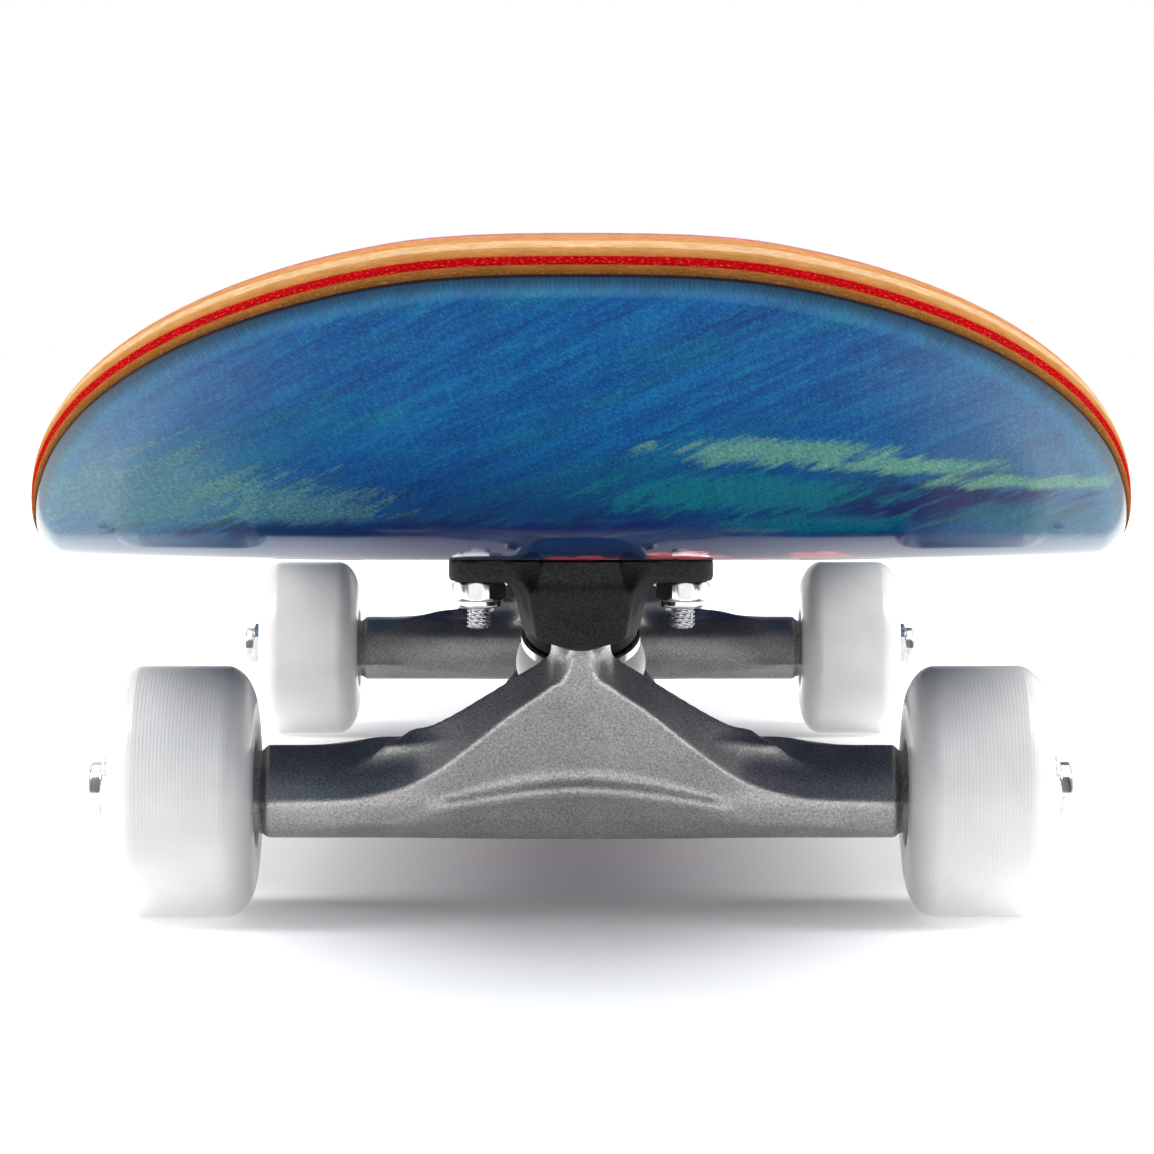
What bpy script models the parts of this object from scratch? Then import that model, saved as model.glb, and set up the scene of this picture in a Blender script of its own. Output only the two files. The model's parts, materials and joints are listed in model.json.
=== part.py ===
"""A complete street skateboard: a seven-ply deck with kicked ends, two trucks and four wheels.

The board lies along Y with its nose at -Y, and stands on its wheels at Z = 0. X runs across it, and a
rider who faces the nose has +X on the left. Every length is in metres.
"""
import math

import bmesh
import bpy
from mathutils import Matrix, Vector

# Distance kept between faces that touch on the real board.
GAP = 0.0003
MERGE = 0.00001

# Deck: outline, section and kicks, measured from the middle of the wheelbase.
DECK_HALF_WIDTH = 0.1048
DECK_THICKNESS = 0.011
DECK_BOTTOM = 0.0756
EDGE_RADIUS = 0.005
EDGE_RINGS = (0.003, 0.002)
RIM_HALF_HEIGHT = 0.0005
WHEELBASE_HALF = 0.181
BOLT_SPACING_Y = 0.054
BOLT_SPACING_X = 0.0413
OUTER_BOLT = WHEELBASE_HALF + BOLT_SPACING_Y
KICK_START = OUTER_BOLT + 0.012
KICK_RADIUS = 0.150
FULL_WIDTH_END = OUTER_BOLT + 0.035
NOSE_TIP = OUTER_BOLT + 0.172
TAIL_TIP = OUTER_BOLT + 0.165
NOSE_ANGLE = math.radians(21.5)
TAIL_ANGLE = math.radians(20.0)
OUTLINE_POWER = 2.15
TIP_FRACTION = 0.985
CONCAVE_RISE = 0.0075
CONCAVE_FLAT = 0.034
CONCAVE_SPAN = 0.065
CONCAVE_END = 0.292
CONCAVE_RAMP = 0.150
DECK_COLUMNS = 10
DECK_MIDDLE_ROWS = 8
DECK_KICK_ROWS = 4
DECK_TIP_ROWS = 5
GRIP_THICKNESS = 0.0006
GRIP_INSET = 0.006

# The origin is under the middle of the deck's length, so the wheelbase's middle lies a little off it.
WHEELBASE_Y = (NOSE_TIP - TAIL_TIP) / 2

# Truck: distances outboard of the axle (S) and heights (Z) in the board's middle plane.
AXLE_FROM_WHEELBASE = 0.216
AXLE_HEIGHT = 0.026
AXLE_RADIUS = 0.004
AXLE_HALF_LENGTH = 0.1015
BORE_CLEARANCE = 0.00035
HANGER_HALF_WIDTH = 0.0687
HANGER_SHOULDER = 0.0642
HANGER_BAR_RADIUS = 0.0096
HANGER_END_RADIUS = 0.0084
WEB_FOOT = (0.001, 0.026)
WEB_ANGLE = math.radians(63.9)
WEB_THICKNESS = 0.008
WEB_TOP = 0.036
WEB_SLOPE_START = 0.010
WEB_SLOPE_END = 0.034
WEB_TOP_HALF_WIDTH = 0.0060
WEB_FOOT_HALF_WIDTH = 0.058
WEB_FLANK = 0.030
WEB_FLARE = 0.013
WEB_STEPS = 8
RING_CENTRE = (-0.014, 0.043)
RING_OUTER_RADIUS = 0.0155
RING_BORE_RADIUS = 0.0083
RING_THICKNESS = 0.009
ROADSIDE_SEAT_RADIUS = 0.0128
YOKE_THICKNESS = 0.007
YOKE_LENGTH = 0.019
YOKE_FOOT_HALF_WIDTH = 0.034
YOKE_WAIST = ((0.0150, 0.0), (0.0175, 0.008), (0.0240, 0.014))
PIVOT_CENTRE = (0.026, 0.066)
PIVOT_RADIUS = 0.0048
PIVOT_END = 0.0024
PIVOT_END_RADIUS = 0.0030
NECK_RADIUS = 0.0060
NECK_START = -0.006
NECK_END = -0.014
KINGPIN_ANGLE = math.radians(62.0)
KINGPIN_RADIUS = 0.00475
KINGPIN_SEAT = 0.018
ROADSIDE_STACK = 0.0115
KINGPIN_HEAD_BASE = 0.0268
KINGPIN_HEAD_HEIGHT = 0.005
KINGPIN_TIP = -0.026
KINGPIN_HEX_RADIUS = 0.00826
KINGPIN_NUT_HEIGHT = 0.008
WASHER_THICKNESS = 0.0012
WASHER_RADIUS = 0.0124
WASHER_LIP = 0.0010
WASHER_RIM = 0.0009
BARREL_RADIUS = 0.0135
BARREL_SHOULDER = 0.0131
BARREL_END = 0.0112
CONE_RADIUS = 0.0121
CONE_END = 0.0102
BUSHING_CHAMFER = 0.0010

# Baseplate.
PLATE_HALF_WIDTH = 0.0266
PLATE_OUTBOARD = 0.031
PLATE_INBOARD = 0.047
PLATE_BOTTOM = 0.0709
PLATE_TOP = DECK_BOTTOM - GAP
PLATE_CORNER = 0.0075
HOUSING_FRONT = 0.0352
HOUSING_BLOCK = ((-0.0077, 0.0270, 0.0580), (0.0077, 0.0350, 0.0720), 1.33)
HOUSING_GUSSET = ((-0.0100, 0.0100, 0.0660), (0.0100, 0.0300, 0.0720), 1.2)
TRIM_LOW = (-0.050, -0.060, 0.040)
TRIM_HIGH = (0.050, HOUSING_FRONT, PLATE_TOP)
BOSS_REACH = 0.045
HOUSING_REACH = 0.014
CUT_REACH = 0.050
KINGPIN_BOSS_RADIUS = 0.0118
PIVOT_BOSS_RADIUS = 0.0084
PIVOT_MOUTH = -0.004
CUP_RADIUS = 0.0066
CUP_BORE_RADIUS = 0.0051
CUP_END = 0.0042
CUP_FLOOR = 0.0029
POCKET_START = -0.012

# Wheels and bearings, along the axle from the middle of the board.
WHEEL_RADIUS = 0.026
WHEEL_CENTRE = 0.08175
WHEEL_HALF_WIDTH = 0.01475
TREAD_HALF_WIDTH = 0.0085
SHOULDER_RADIUS = 0.0165
SHOULDER_SEGMENTS = 3
CORE_RADIUS = 0.0090
MOUTH_CHAMFER = 0.0009
HEX_SIDES = 6
SMALL_HOLE_SIDES = 10
ROD_SIDES = 12
HOUSING_SIDES = 16
BOSS_SIDES = 20
RING_SIDES = 24
WHEEL_FACETS = 24
BEARING_RADIUS = 0.011
BEARING_WIDTH = 0.007
BEARING_OUTER_RACE = 0.0017
INNER_RACE_RADIUS = 0.006
SPACER_RADIUS = 0.0052
SPACER_HALF_LENGTH = 0.005
AXLE_NUT_START = 0.09475
AXLE_NUT_END = 0.1013
AXLE_NUT_HEX_RADIUS = 0.00733

# Deck bolts and their lock nuts.
BOLT_RADIUS = 0.0024
BOLT_HEAD_RADIUS = 0.0047
BOLT_HEAD_DEPTH = 0.0023
BOLT_TIP = 0.0611
BOLT_HOLE_CLEARANCE = 0.0004
NUT_HEX_RADIUS = 0.00548
NUT_BOTTOM = 0.0652
GRIP_HOLE_RADIUS = 0.0054

PARTS = "skateboard"
CUTTERS = "cutters"


def clear_scene():
    """Remove every object that the file opened with."""
    for obj in list(bpy.data.objects):
        bpy.data.objects.remove(obj, do_unlink=True)


def collection(name):
    """Return the named collection, linked to the scene."""
    found = bpy.data.collections.get(name)
    if found is None:
        found = bpy.data.collections.new(name)
        bpy.context.scene.collection.children.link(found)
    return found


def material(name, colour, roughness, metallic):
    """Return a Principled material with one colour, roughness and metallic value."""
    found = bpy.data.materials.get(name)
    if found is not None:
        return found
    made = bpy.data.materials.new(name)
    made.use_nodes = True
    shader = made.node_tree.nodes["Principled BSDF"]
    shader.inputs["Base Color"].default_value = (*colour, 1.0)
    shader.inputs["Roughness"].default_value = roughness
    shader.inputs["Metallic"].default_value = metallic
    return made


MATERIALS = {
    "deck": ((0.05, 0.16, 0.45), 0.20, 0.0),
    "grip": ((0.02, 0.02, 0.02), 0.95, 0.0),
    "hanger": ((0.18, 0.18, 0.18), 0.42, 0.75),
    "baseplate": ((0.03, 0.03, 0.03), 0.45, 0.2),
    "steel": ((0.70, 0.70, 0.72), 0.15, 1.0),
    "urethane": ((0.86, 0.86, 0.85), 0.35, 0.0),
    "bushing": ((0.88, 0.87, 0.84), 0.40, 0.0),
    "pivot_cup": ((0.05, 0.05, 0.05), 0.55, 0.0),
}


def place(mesh, name, slot, matrix):
    """Make a part from a mesh, with its material, at a place given by a matrix."""
    colour, roughness, metallic = MATERIALS[slot]
    mesh.materials.append(material(slot, colour, roughness, metallic))
    obj = bpy.data.objects.new(name, mesh)
    obj.matrix_world = matrix
    collection(PARTS).objects.link(obj)
    return obj


def guide(mesh, name, matrix):
    """Make a cutter or a shape to be joined, which isn't a part itself."""
    obj = bpy.data.objects.new(name, mesh)
    obj.matrix_world = matrix
    obj.hide_render = True
    obj.display_type = "WIRE"
    collection(CUTTERS).objects.link(obj)
    return obj


def combine(obj, other, operation):
    """Add an exact Boolean of one object with another."""
    modifier = obj.modifiers.new(other.name, "BOOLEAN")
    modifier.operation = operation
    modifier.solver = "EXACT"
    modifier.object = other


def shade(mesh, angle=math.radians(35)):
    """Shade a mesh smooth, with sharp edges kept sharp."""
    mesh.shade_smooth()
    mesh.set_sharp_from_angle(angle=angle)


def add_screw(obj, steps):
    """Turn an object's profile about its own Z axis."""
    screw = obj.modifiers.new("turn", "SCREW")
    screw.axis = "Z"
    screw.steps = steps
    screw.render_steps = steps
    screw.use_merge_vertices = True
    screw.merge_threshold = MERGE
    screw.use_smooth_shade = False


def profile_mesh(name, points, closed):
    """Return an edge profile of (radius, height) points in the XZ plane."""
    mesh = bpy.data.meshes.new(name)
    vertices = [(radius, 0.0, height) for radius, height in points]
    edges = [(i, i + 1) for i in range(len(points) - 1)]
    if closed:
        edges.append((len(points) - 1, 0))
    mesh.from_pydata(vertices, edges, [])
    return mesh


def turned_part(name, slot, points, steps, matrix, closed=True):
    """Make a turned part from a profile that runs down its outer side."""
    obj = place(profile_mesh(name, points, closed), name, slot, matrix)
    add_screw(obj, steps)
    return obj


def turned_guide(name, points, steps, matrix, closed=False):
    """Make a turned cutter or joined shape."""
    obj = guide(profile_mesh(name, points, closed), name, matrix)
    add_screw(obj, steps)
    return obj


def prism_mesh(name, sides, radius, low, high):
    """Return a prism or cylinder between two heights on its Z axis."""
    bm = bmesh.new()
    middle = Matrix.Translation((0.0, 0.0, (low + high) / 2))
    bmesh.ops.create_cone(
        bm,
        cap_ends=True,
        segments=sides,
        radius1=radius,
        radius2=radius,
        depth=high - low,
        matrix=middle,
    )
    mesh = bpy.data.meshes.new(name)
    bm.to_mesh(mesh)
    bm.free()
    shade(mesh)
    return mesh


def box_mesh(name, low, high, top_scale=1.0):
    """Return a box between two corners, whose top can be wider than its bottom across X."""
    bm = bmesh.new()
    size = Vector(high) - Vector(low)
    centre = (Vector(high) + Vector(low)) / 2
    bmesh.ops.create_cube(bm, size=1.0)
    for vertex in bm.verts:
        if vertex.co.z > 0.0:
            vertex.co.x *= top_scale
        vertex.co = Vector((vertex.co.x * size.x, vertex.co.y * size.y, vertex.co.z * size.z)) + centre
    mesh = bpy.data.meshes.new(name)
    bm.to_mesh(mesh)
    bm.free()
    return mesh


def outline_mesh(name, points, thickness):
    """Return a flat plate of a closed outline in the XY plane, centred on the plane."""
    curve = bpy.data.curves.new(name, "CURVE")
    curve.dimensions = "2D"
    curve.fill_mode = "BOTH"
    curve.extrude = thickness / 2
    spline = curve.splines.new("POLY")
    spline.points.add(len(points) - 1)
    for point, (x, y) in zip(spline.points, points):
        point.co = (x, y, 0.0, 1.0)
    spline.use_cyclic_u = True
    flat = bpy.data.objects.new(name, curve)
    bpy.context.scene.collection.objects.link(flat)
    depsgraph = bpy.context.evaluated_depsgraph_get()
    mesh = bpy.data.meshes.new_from_object(flat.evaluated_get(depsgraph))
    bpy.data.objects.remove(flat, do_unlink=True)
    bm = bmesh.new()
    bm.from_mesh(mesh)
    bmesh.ops.remove_doubles(bm, verts=bm.verts, dist=MERGE)
    bm.to_mesh(mesh)
    bm.free()
    return mesh


def along(origin, direction):
    """Return a matrix whose Z axis runs along a direction in the plane across X."""
    z_axis = Vector(direction).normalized()
    x_axis = Vector((1.0, 0.0, 0.0))
    y_axis = z_axis.cross(x_axis)
    turn = Matrix((x_axis, y_axis, z_axis)).transposed().to_4x4()
    return Matrix.Translation(origin) @ turn


def truck_frame(end):
    """Return a truck's frame, whose Y axis points outboard from below the axle."""
    if end == "front":
        turn = Matrix.Rotation(math.pi, 4, "Z")
        return Matrix.Translation((0.0, WHEELBASE_Y - AXLE_FROM_WHEELBASE, 0.0)) @ turn
    return Matrix.Translation((0.0, WHEELBASE_Y + AXLE_FROM_WHEELBASE, 0.0))


def attach(child, parent):
    """Parent one object to another where it is."""
    child.parent = parent
    child.matrix_parent_inverse = parent.matrix_basis.inverted()


# Deck ------------------------------------------------------------------------------------------


def kick_height(distance, angle):
    """Return how far a kick rises at a distance past its start: an arc, then a straight slope."""
    if distance <= 0.0:
        return 0.0
    arc_end = KICK_RADIUS * math.sin(angle)
    if distance < arc_end:
        return KICK_RADIUS - math.sqrt(KICK_RADIUS ** 2 - distance ** 2)
    return KICK_RADIUS * (1 - math.cos(angle)) + (distance - arc_end) * math.tan(angle)


def concave_height(x, y):
    """Return how far the sides curl up at a point, most in the middle and none at the kicks."""
    ramp = min(max((CONCAVE_END - abs(y)) / CONCAVE_RAMP, 0.0), 1.0)
    rise = CONCAVE_RISE * ramp ** 2 * (3 - 2 * ramp)
    side = max(abs(x) - CONCAVE_FLAT, 0.0) / CONCAVE_SPAN
    return rise * side ** 2


def deck_height(x, y):
    """Return the height of the deck's middle surface."""
    angle = NOSE_ANGLE if y < 0.0 else TAIL_ANGLE
    middle = DECK_BOTTOM + DECK_THICKNESS / 2
    return middle + kick_height(abs(y) - KICK_START, angle) + concave_height(x, y)


def half_width(y, inset):
    """Return the outline's half width, with the outline drawn in by an inset."""
    tip = NOSE_TIP if y < 0.0 else TAIL_TIP
    reach = TIP_FRACTION * (abs(y) - FULL_WIDTH_END) / (tip - inset - FULL_WIDTH_END)
    width = DECK_HALF_WIDTH - inset
    if reach <= 0.0:
        return width
    return width * math.sqrt(1 - reach ** OUTLINE_POWER)


def end_rows(tip, angle, inset):
    """Return the distances of the rows from a kick's start to its tip, closer towards the tip."""
    arc_end = KICK_START + KICK_RADIUS * math.sin(angle)
    last = tip - inset
    rows = []
    for i in range(1, DECK_KICK_ROWS + 1):
        rows.append(KICK_START + (arc_end - KICK_START) * i / DECK_KICK_ROWS)
    for i in range(1, DECK_TIP_ROWS + 1):
        rows.append(arc_end + (last - arc_end) * math.sin(math.pi / 2 * i / DECK_TIP_ROWS))
    return rows


def deck_rows(inset):
    """Return the rows' places along the board, from the nose to the tail."""
    nose = [-y for y in reversed(end_rows(NOSE_TIP, NOSE_ANGLE, inset))]
    middle = []
    for i in range(DECK_MIDDLE_ROWS + 1):
        middle.append(KICK_START * (2 * i / DECK_MIDDLE_ROWS - 1))
    return nose + middle + end_rows(TAIL_TIP, TAIL_ANGLE, inset)


def outward_normals(bm):
    """Return each rim vertex's outward direction in plan, long enough to offset both its edges."""
    directions = {}
    for vertex in bm.verts:
        rim = [edge for edge in vertex.link_edges if edge.is_boundary]
        if not rim:
            continue
        normals = []
        for edge in rim:
            run = edge.verts[1].co - edge.verts[0].co
            normal = Vector((run.y, -run.x, 0.0)).normalized()
            inside = edge.link_faces[0].calc_center_median() - edge.verts[0].co
            normals.append(-normal if normal.dot(inside) > 0.0 else normal)
        mean = (normals[0] + normals[1]).normalized()
        directions[vertex] = mean / mean.dot(normals[0])
    return directions


def grow_rim(bm, distance):
    """Extrude the rim outward in plan and return the new vertices."""
    directions = outward_normals(bm)
    rim = [edge for edge in bm.edges if edge.is_boundary]
    starts = {vertex.co.copy().freeze(): move for vertex, move in directions.items()}
    made = bmesh.ops.extrude_edge_only(bm, edges=rim)["geom"]
    added = [item for item in made if isinstance(item, bmesh.types.BMVert)]
    for vertex in added:
        vertex.co += starts[vertex.co.copy().freeze()] * distance
    return added


def board_sheet(name, inset, rings):
    """Return the bent middle surface of the board, and the vertices of each ring grown at its rim."""
    rows = deck_rows(inset)
    bm = bmesh.new()
    bmesh.ops.create_grid(bm, x_segments=DECK_COLUMNS, y_segments=len(rows) - 1, size=1.0)
    for vertex in bm.verts:
        y = rows[round((vertex.co.y + 1) / 2 * (len(rows) - 1))]
        vertex.co = Vector((vertex.co.x * half_width(y, inset), y, 0.0))
    grown = []
    for distance in rings:
        grown.append(grow_rim(bm, distance))
    for vertex in bm.verts:
        vertex.co.z = deck_height(vertex.co.x, vertex.co.y)
        vertex.co.y += WHEELBASE_Y
    bmesh.ops.recalc_face_normals(bm, faces=bm.faces)
    if sum(face.normal.z for face in bm.faces) < 0.0:
        bmesh.ops.reverse_faces(bm, faces=bm.faces)
    bm.verts.index_update()
    indices = [[vertex.index for vertex in ring] for ring in grown]
    mesh = bpy.data.meshes.new(name)
    bm.to_mesh(mesh)
    bm.free()
    shade(mesh)
    return mesh, indices


def bolt_places():
    """Return the eight deck bolts' places: end, row, side, X and Y."""
    places = []
    for end, sign in (("front", -1), ("rear", 1)):
        for row, distance in (("outer", OUTER_BOLT), ("inner", WHEELBASE_HALF)):
            for side, x in (("left", BOLT_SPACING_X / 2), ("right", -BOLT_SPACING_X / 2)):
                places.append((end, row, side, x, WHEELBASE_Y + sign * distance))
    return places


def bolt_profile(clearance, top, bottom):
    """Return a countersunk bolt's profile, or with a clearance the hole that takes it."""
    head = BOLT_HEAD_RADIUS + clearance
    shank = BOLT_RADIUS + clearance
    return [(0.0, top), (head, top), (shank, top - BOLT_HEAD_DEPTH), (shank, bottom), (0.0, bottom)]


def build_deck():
    """Make the deck: a bent sheet thickened to a round-edged board, with countersunk bolt holes."""
    mesh, rings = board_sheet("deck", EDGE_RADIUS, EDGE_RINGS)
    deck = place(mesh, "deck", "deck", Matrix.Identity(4))
    body = deck.vertex_groups.new(name="thickness")
    body.add(range(len(mesh.vertices)), 1.0, "REPLACE")
    reach = 0.0
    for indices, distance in zip(rings, EDGE_RINGS):
        reach += distance
        drop = EDGE_RADIUS - math.sqrt(EDGE_RADIUS ** 2 - reach ** 2)
        body.add(indices, 1 - drop / (DECK_THICKNESS / 2), "REPLACE")
    solid = deck.modifiers.new("plies", "SOLIDIFY")
    solid.thickness = DECK_THICKNESS
    solid.offset = 0.0
    solid.vertex_group = "thickness"
    solid.thickness_vertex_group = RIM_HALF_HEIGHT / DECK_THICKNESS
    top = DECK_BOTTOM + DECK_THICKNESS + GAP + GRIP_THICKNESS
    for end, row, side, x, y in bolt_places():
        points = bolt_profile(BOLT_HOLE_CLEARANCE, top, DECK_BOTTOM - BOLT_HEAD_DEPTH)
        name = f"deck_hole_{end}_{row}_{side}"
        hole = turned_guide(name, points, 10, Matrix.Translation((x, y, 0.0)))
        combine(deck, hole, "DIFFERENCE")
    return deck


def build_grip():
    """Make the grip tape: a thin sheet on the deck's top, drawn in from the rounded edge."""
    mesh, _ = board_sheet("grip_tape", GRIP_INSET, ())
    grip = place(mesh, "grip_tape", "grip", Matrix.Identity(4))
    solid = grip.modifiers.new("sheet", "SOLIDIFY")
    solid.thickness = GRIP_THICKNESS
    bottom = DECK_THICKNESS / 2 + GAP
    solid.offset = 2 * bottom / GRIP_THICKNESS + 1
    low = DECK_BOTTOM + DECK_THICKNESS / 2
    high = DECK_BOTTOM + 2 * DECK_THICKNESS
    for end, row, side, x, y in bolt_places():
        name = f"grip_hole_{end}_{row}_{side}"
        spot = Matrix.Translation((x, y, 0.0))
        hole = guide(prism_mesh(name, SMALL_HOLE_SIDES, GRIP_HOLE_RADIUS, low, high), name, spot)
        combine(grip, hole, "DIFFERENCE")
    return grip


# Hardware --------------------------------------------------------------------------------------


def hex_nut(name, slot, hex_radius, bore_radius, low, high, matrix):
    """Make a hexagonal nut with a plain bore."""
    nut = place(prism_mesh(name, HEX_SIDES, hex_radius, low, high), name, slot, matrix)
    reach = high - low
    bore_name = name + "_bore"
    bore = guide(prism_mesh(bore_name, ROD_SIDES, bore_radius, low - reach, high + reach), bore_name, matrix)
    combine(nut, bore, "DIFFERENCE")
    return nut


def build_hardware():
    """Make the eight deck bolts and their lock nuts."""
    top = DECK_BOTTOM + DECK_THICKNESS + GAP + GRIP_THICKNESS - GAP / 3
    for end, row, side, x, y in bolt_places():
        at = Matrix.Translation((x, y, 0.0))
        name = f"{end}_{row}_{side}_deck_bolt"
        points = bolt_profile(0.0, top, BOLT_TIP)
        turned_part(name, "steel", points, 10, at, closed=False)
        nut_name = f"{end}_{row}_{side}_deck_nut"
        bore = BOLT_RADIUS + BORE_CLEARANCE
        hex_nut(nut_name, "steel", NUT_HEX_RADIUS, bore, NUT_BOTTOM, PLATE_BOTTOM - GAP, at)


# Trucks ----------------------------------------------------------------------------------------


def steer_frame(frame):
    """Return a truck's steering frame: origin at the pivot, Z out along the steering axis."""
    run = PIVOT_CENTRE[0] - RING_CENTRE[0]
    rise = PIVOT_CENTRE[1] - RING_CENTRE[1]
    return frame @ along((0.0, *PIVOT_CENTRE), (0.0, run, rise))


def kingpin_frame(frame):
    """Return a truck's kingpin frame: origin in the hanger's ring, Z up along the kingpin."""
    direction = (0.0, math.cos(KINGPIN_ANGLE), math.sin(KINGPIN_ANGLE))
    return frame @ along((0.0, *RING_CENTRE), direction)


def build_baseplate(end, frame):
    """Make a baseplate: a plate with a kingpin boss and a pivot housing, cut for what it holds."""
    steer = steer_frame(frame)
    kingpin = kingpin_frame(frame)
    name = end + "_baseplate"
    bm = bmesh.new()
    bmesh.ops.create_cube(bm, size=1.0)
    length = PLATE_OUTBOARD + PLATE_INBOARD
    for vertex in bm.verts:
        vertex.co.x *= 2 * PLATE_HALF_WIDTH
        vertex.co.y = vertex.co.y * length + (PLATE_OUTBOARD - PLATE_INBOARD) / 2
        vertex.co.z = PLATE_TOP if vertex.co.z > 0.0 else PLATE_BOTTOM
    uprights = [edge for edge in bm.edges if abs(edge.verts[0].co.z - edge.verts[1].co.z) > MERGE]
    bmesh.ops.bevel(bm, geom=uprights, offset=PLATE_CORNER, segments=4, profile=0.5, affect="EDGES")
    mesh = bpy.data.meshes.new(name)
    bm.to_mesh(mesh)
    bm.free()
    plate = place(mesh, name, "baseplate", frame)
    boss = prism_mesh(name + "_boss", BOSS_SIDES, KINGPIN_BOSS_RADIUS, KINGPIN_SEAT, BOSS_REACH)
    combine(plate, guide(boss, name + "_boss", kingpin), "UNION")
    housing = prism_mesh(name + "_housing", HOUSING_SIDES, PIVOT_BOSS_RADIUS, PIVOT_MOUTH, HOUSING_REACH)
    combine(plate, guide(housing, name + "_housing", steer), "UNION")
    for label, (low, high, top_scale) in (("_block", HOUSING_BLOCK), ("_gusset", HOUSING_GUSSET)):
        block = box_mesh(name + label, low, high, top_scale)
        combine(plate, guide(block, name + label, frame), "UNION")
    trim = box_mesh(name + "_trim", TRIM_LOW, TRIM_HIGH)
    combine(plate, guide(trim, name + "_trim", frame), "INTERSECT")
    pocket = prism_mesh(name + "_pocket", HOUSING_SIDES, CUP_RADIUS + GAP, POCKET_START, CUP_END + GAP)
    combine(plate, guide(pocket, name + "_pocket", steer), "DIFFERENCE")
    recess_radius = KINGPIN_HEX_RADIUS + 2 * GAP
    recess = prism_mesh(name + "_recess", HOUSING_SIDES, recess_radius, KINGPIN_HEAD_BASE - GAP, CUT_REACH)
    combine(plate, guide(recess, name + "_recess", kingpin), "DIFFERENCE")
    bore = prism_mesh(name + "_bore", HOUSING_SIDES, KINGPIN_RADIUS + BORE_CLEARANCE, 0.0, CUT_REACH)
    combine(plate, guide(bore, name + "_bore", kingpin), "DIFFERENCE")
    for row, distance in (("outer", OUTER_BOLT), ("inner", WHEELBASE_HALF)):
        for side, x in (("a", BOLT_SPACING_X / 2), ("b", -BOLT_SPACING_X / 2)):
            hole_name = f"{name}_hole_{row}_{side}"
            radius = BOLT_RADIUS + BOLT_HOLE_CLEARANCE
            low, high = PLATE_BOTTOM - CUT_REACH, PLATE_TOP + CUT_REACH
            hole = prism_mesh(hole_name, SMALL_HOLE_SIDES, radius, low, high)
            at = frame @ Matrix.Translation((x, distance - AXLE_FROM_WHEELBASE, 0.0))
            combine(plate, guide(hole, hole_name, at), "DIFFERENCE")
    return plate


def web_outline():
    """Return the outline of the hanger's web, from its wide foot up its hollow flanks to the pivot."""
    side = [(WEB_FOOT_HALF_WIDTH, 0.0)]
    for i in range(WEB_STEPS):
        q = 1 - i / (WEB_STEPS - 1)
        width = WEB_TOP_HALF_WIDTH + WEB_FLANK * q + WEB_FLARE * q ** 6
        height = WEB_SLOPE_END + (WEB_SLOPE_START - WEB_SLOPE_END) * q
        side.append((width, height))
    side.append((WEB_TOP_HALF_WIDTH, WEB_TOP))
    return side + [(-x, y) for x, y in reversed(side)]


def yoke_outline():
    """Return the outline of the yoke that joins the ring to the axle bar."""
    side = [*YOKE_WAIST, (YOKE_FOOT_HALF_WIDTH, YOKE_LENGTH)]
    return side + [(-x, y) for x, y in reversed(side)]


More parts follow.
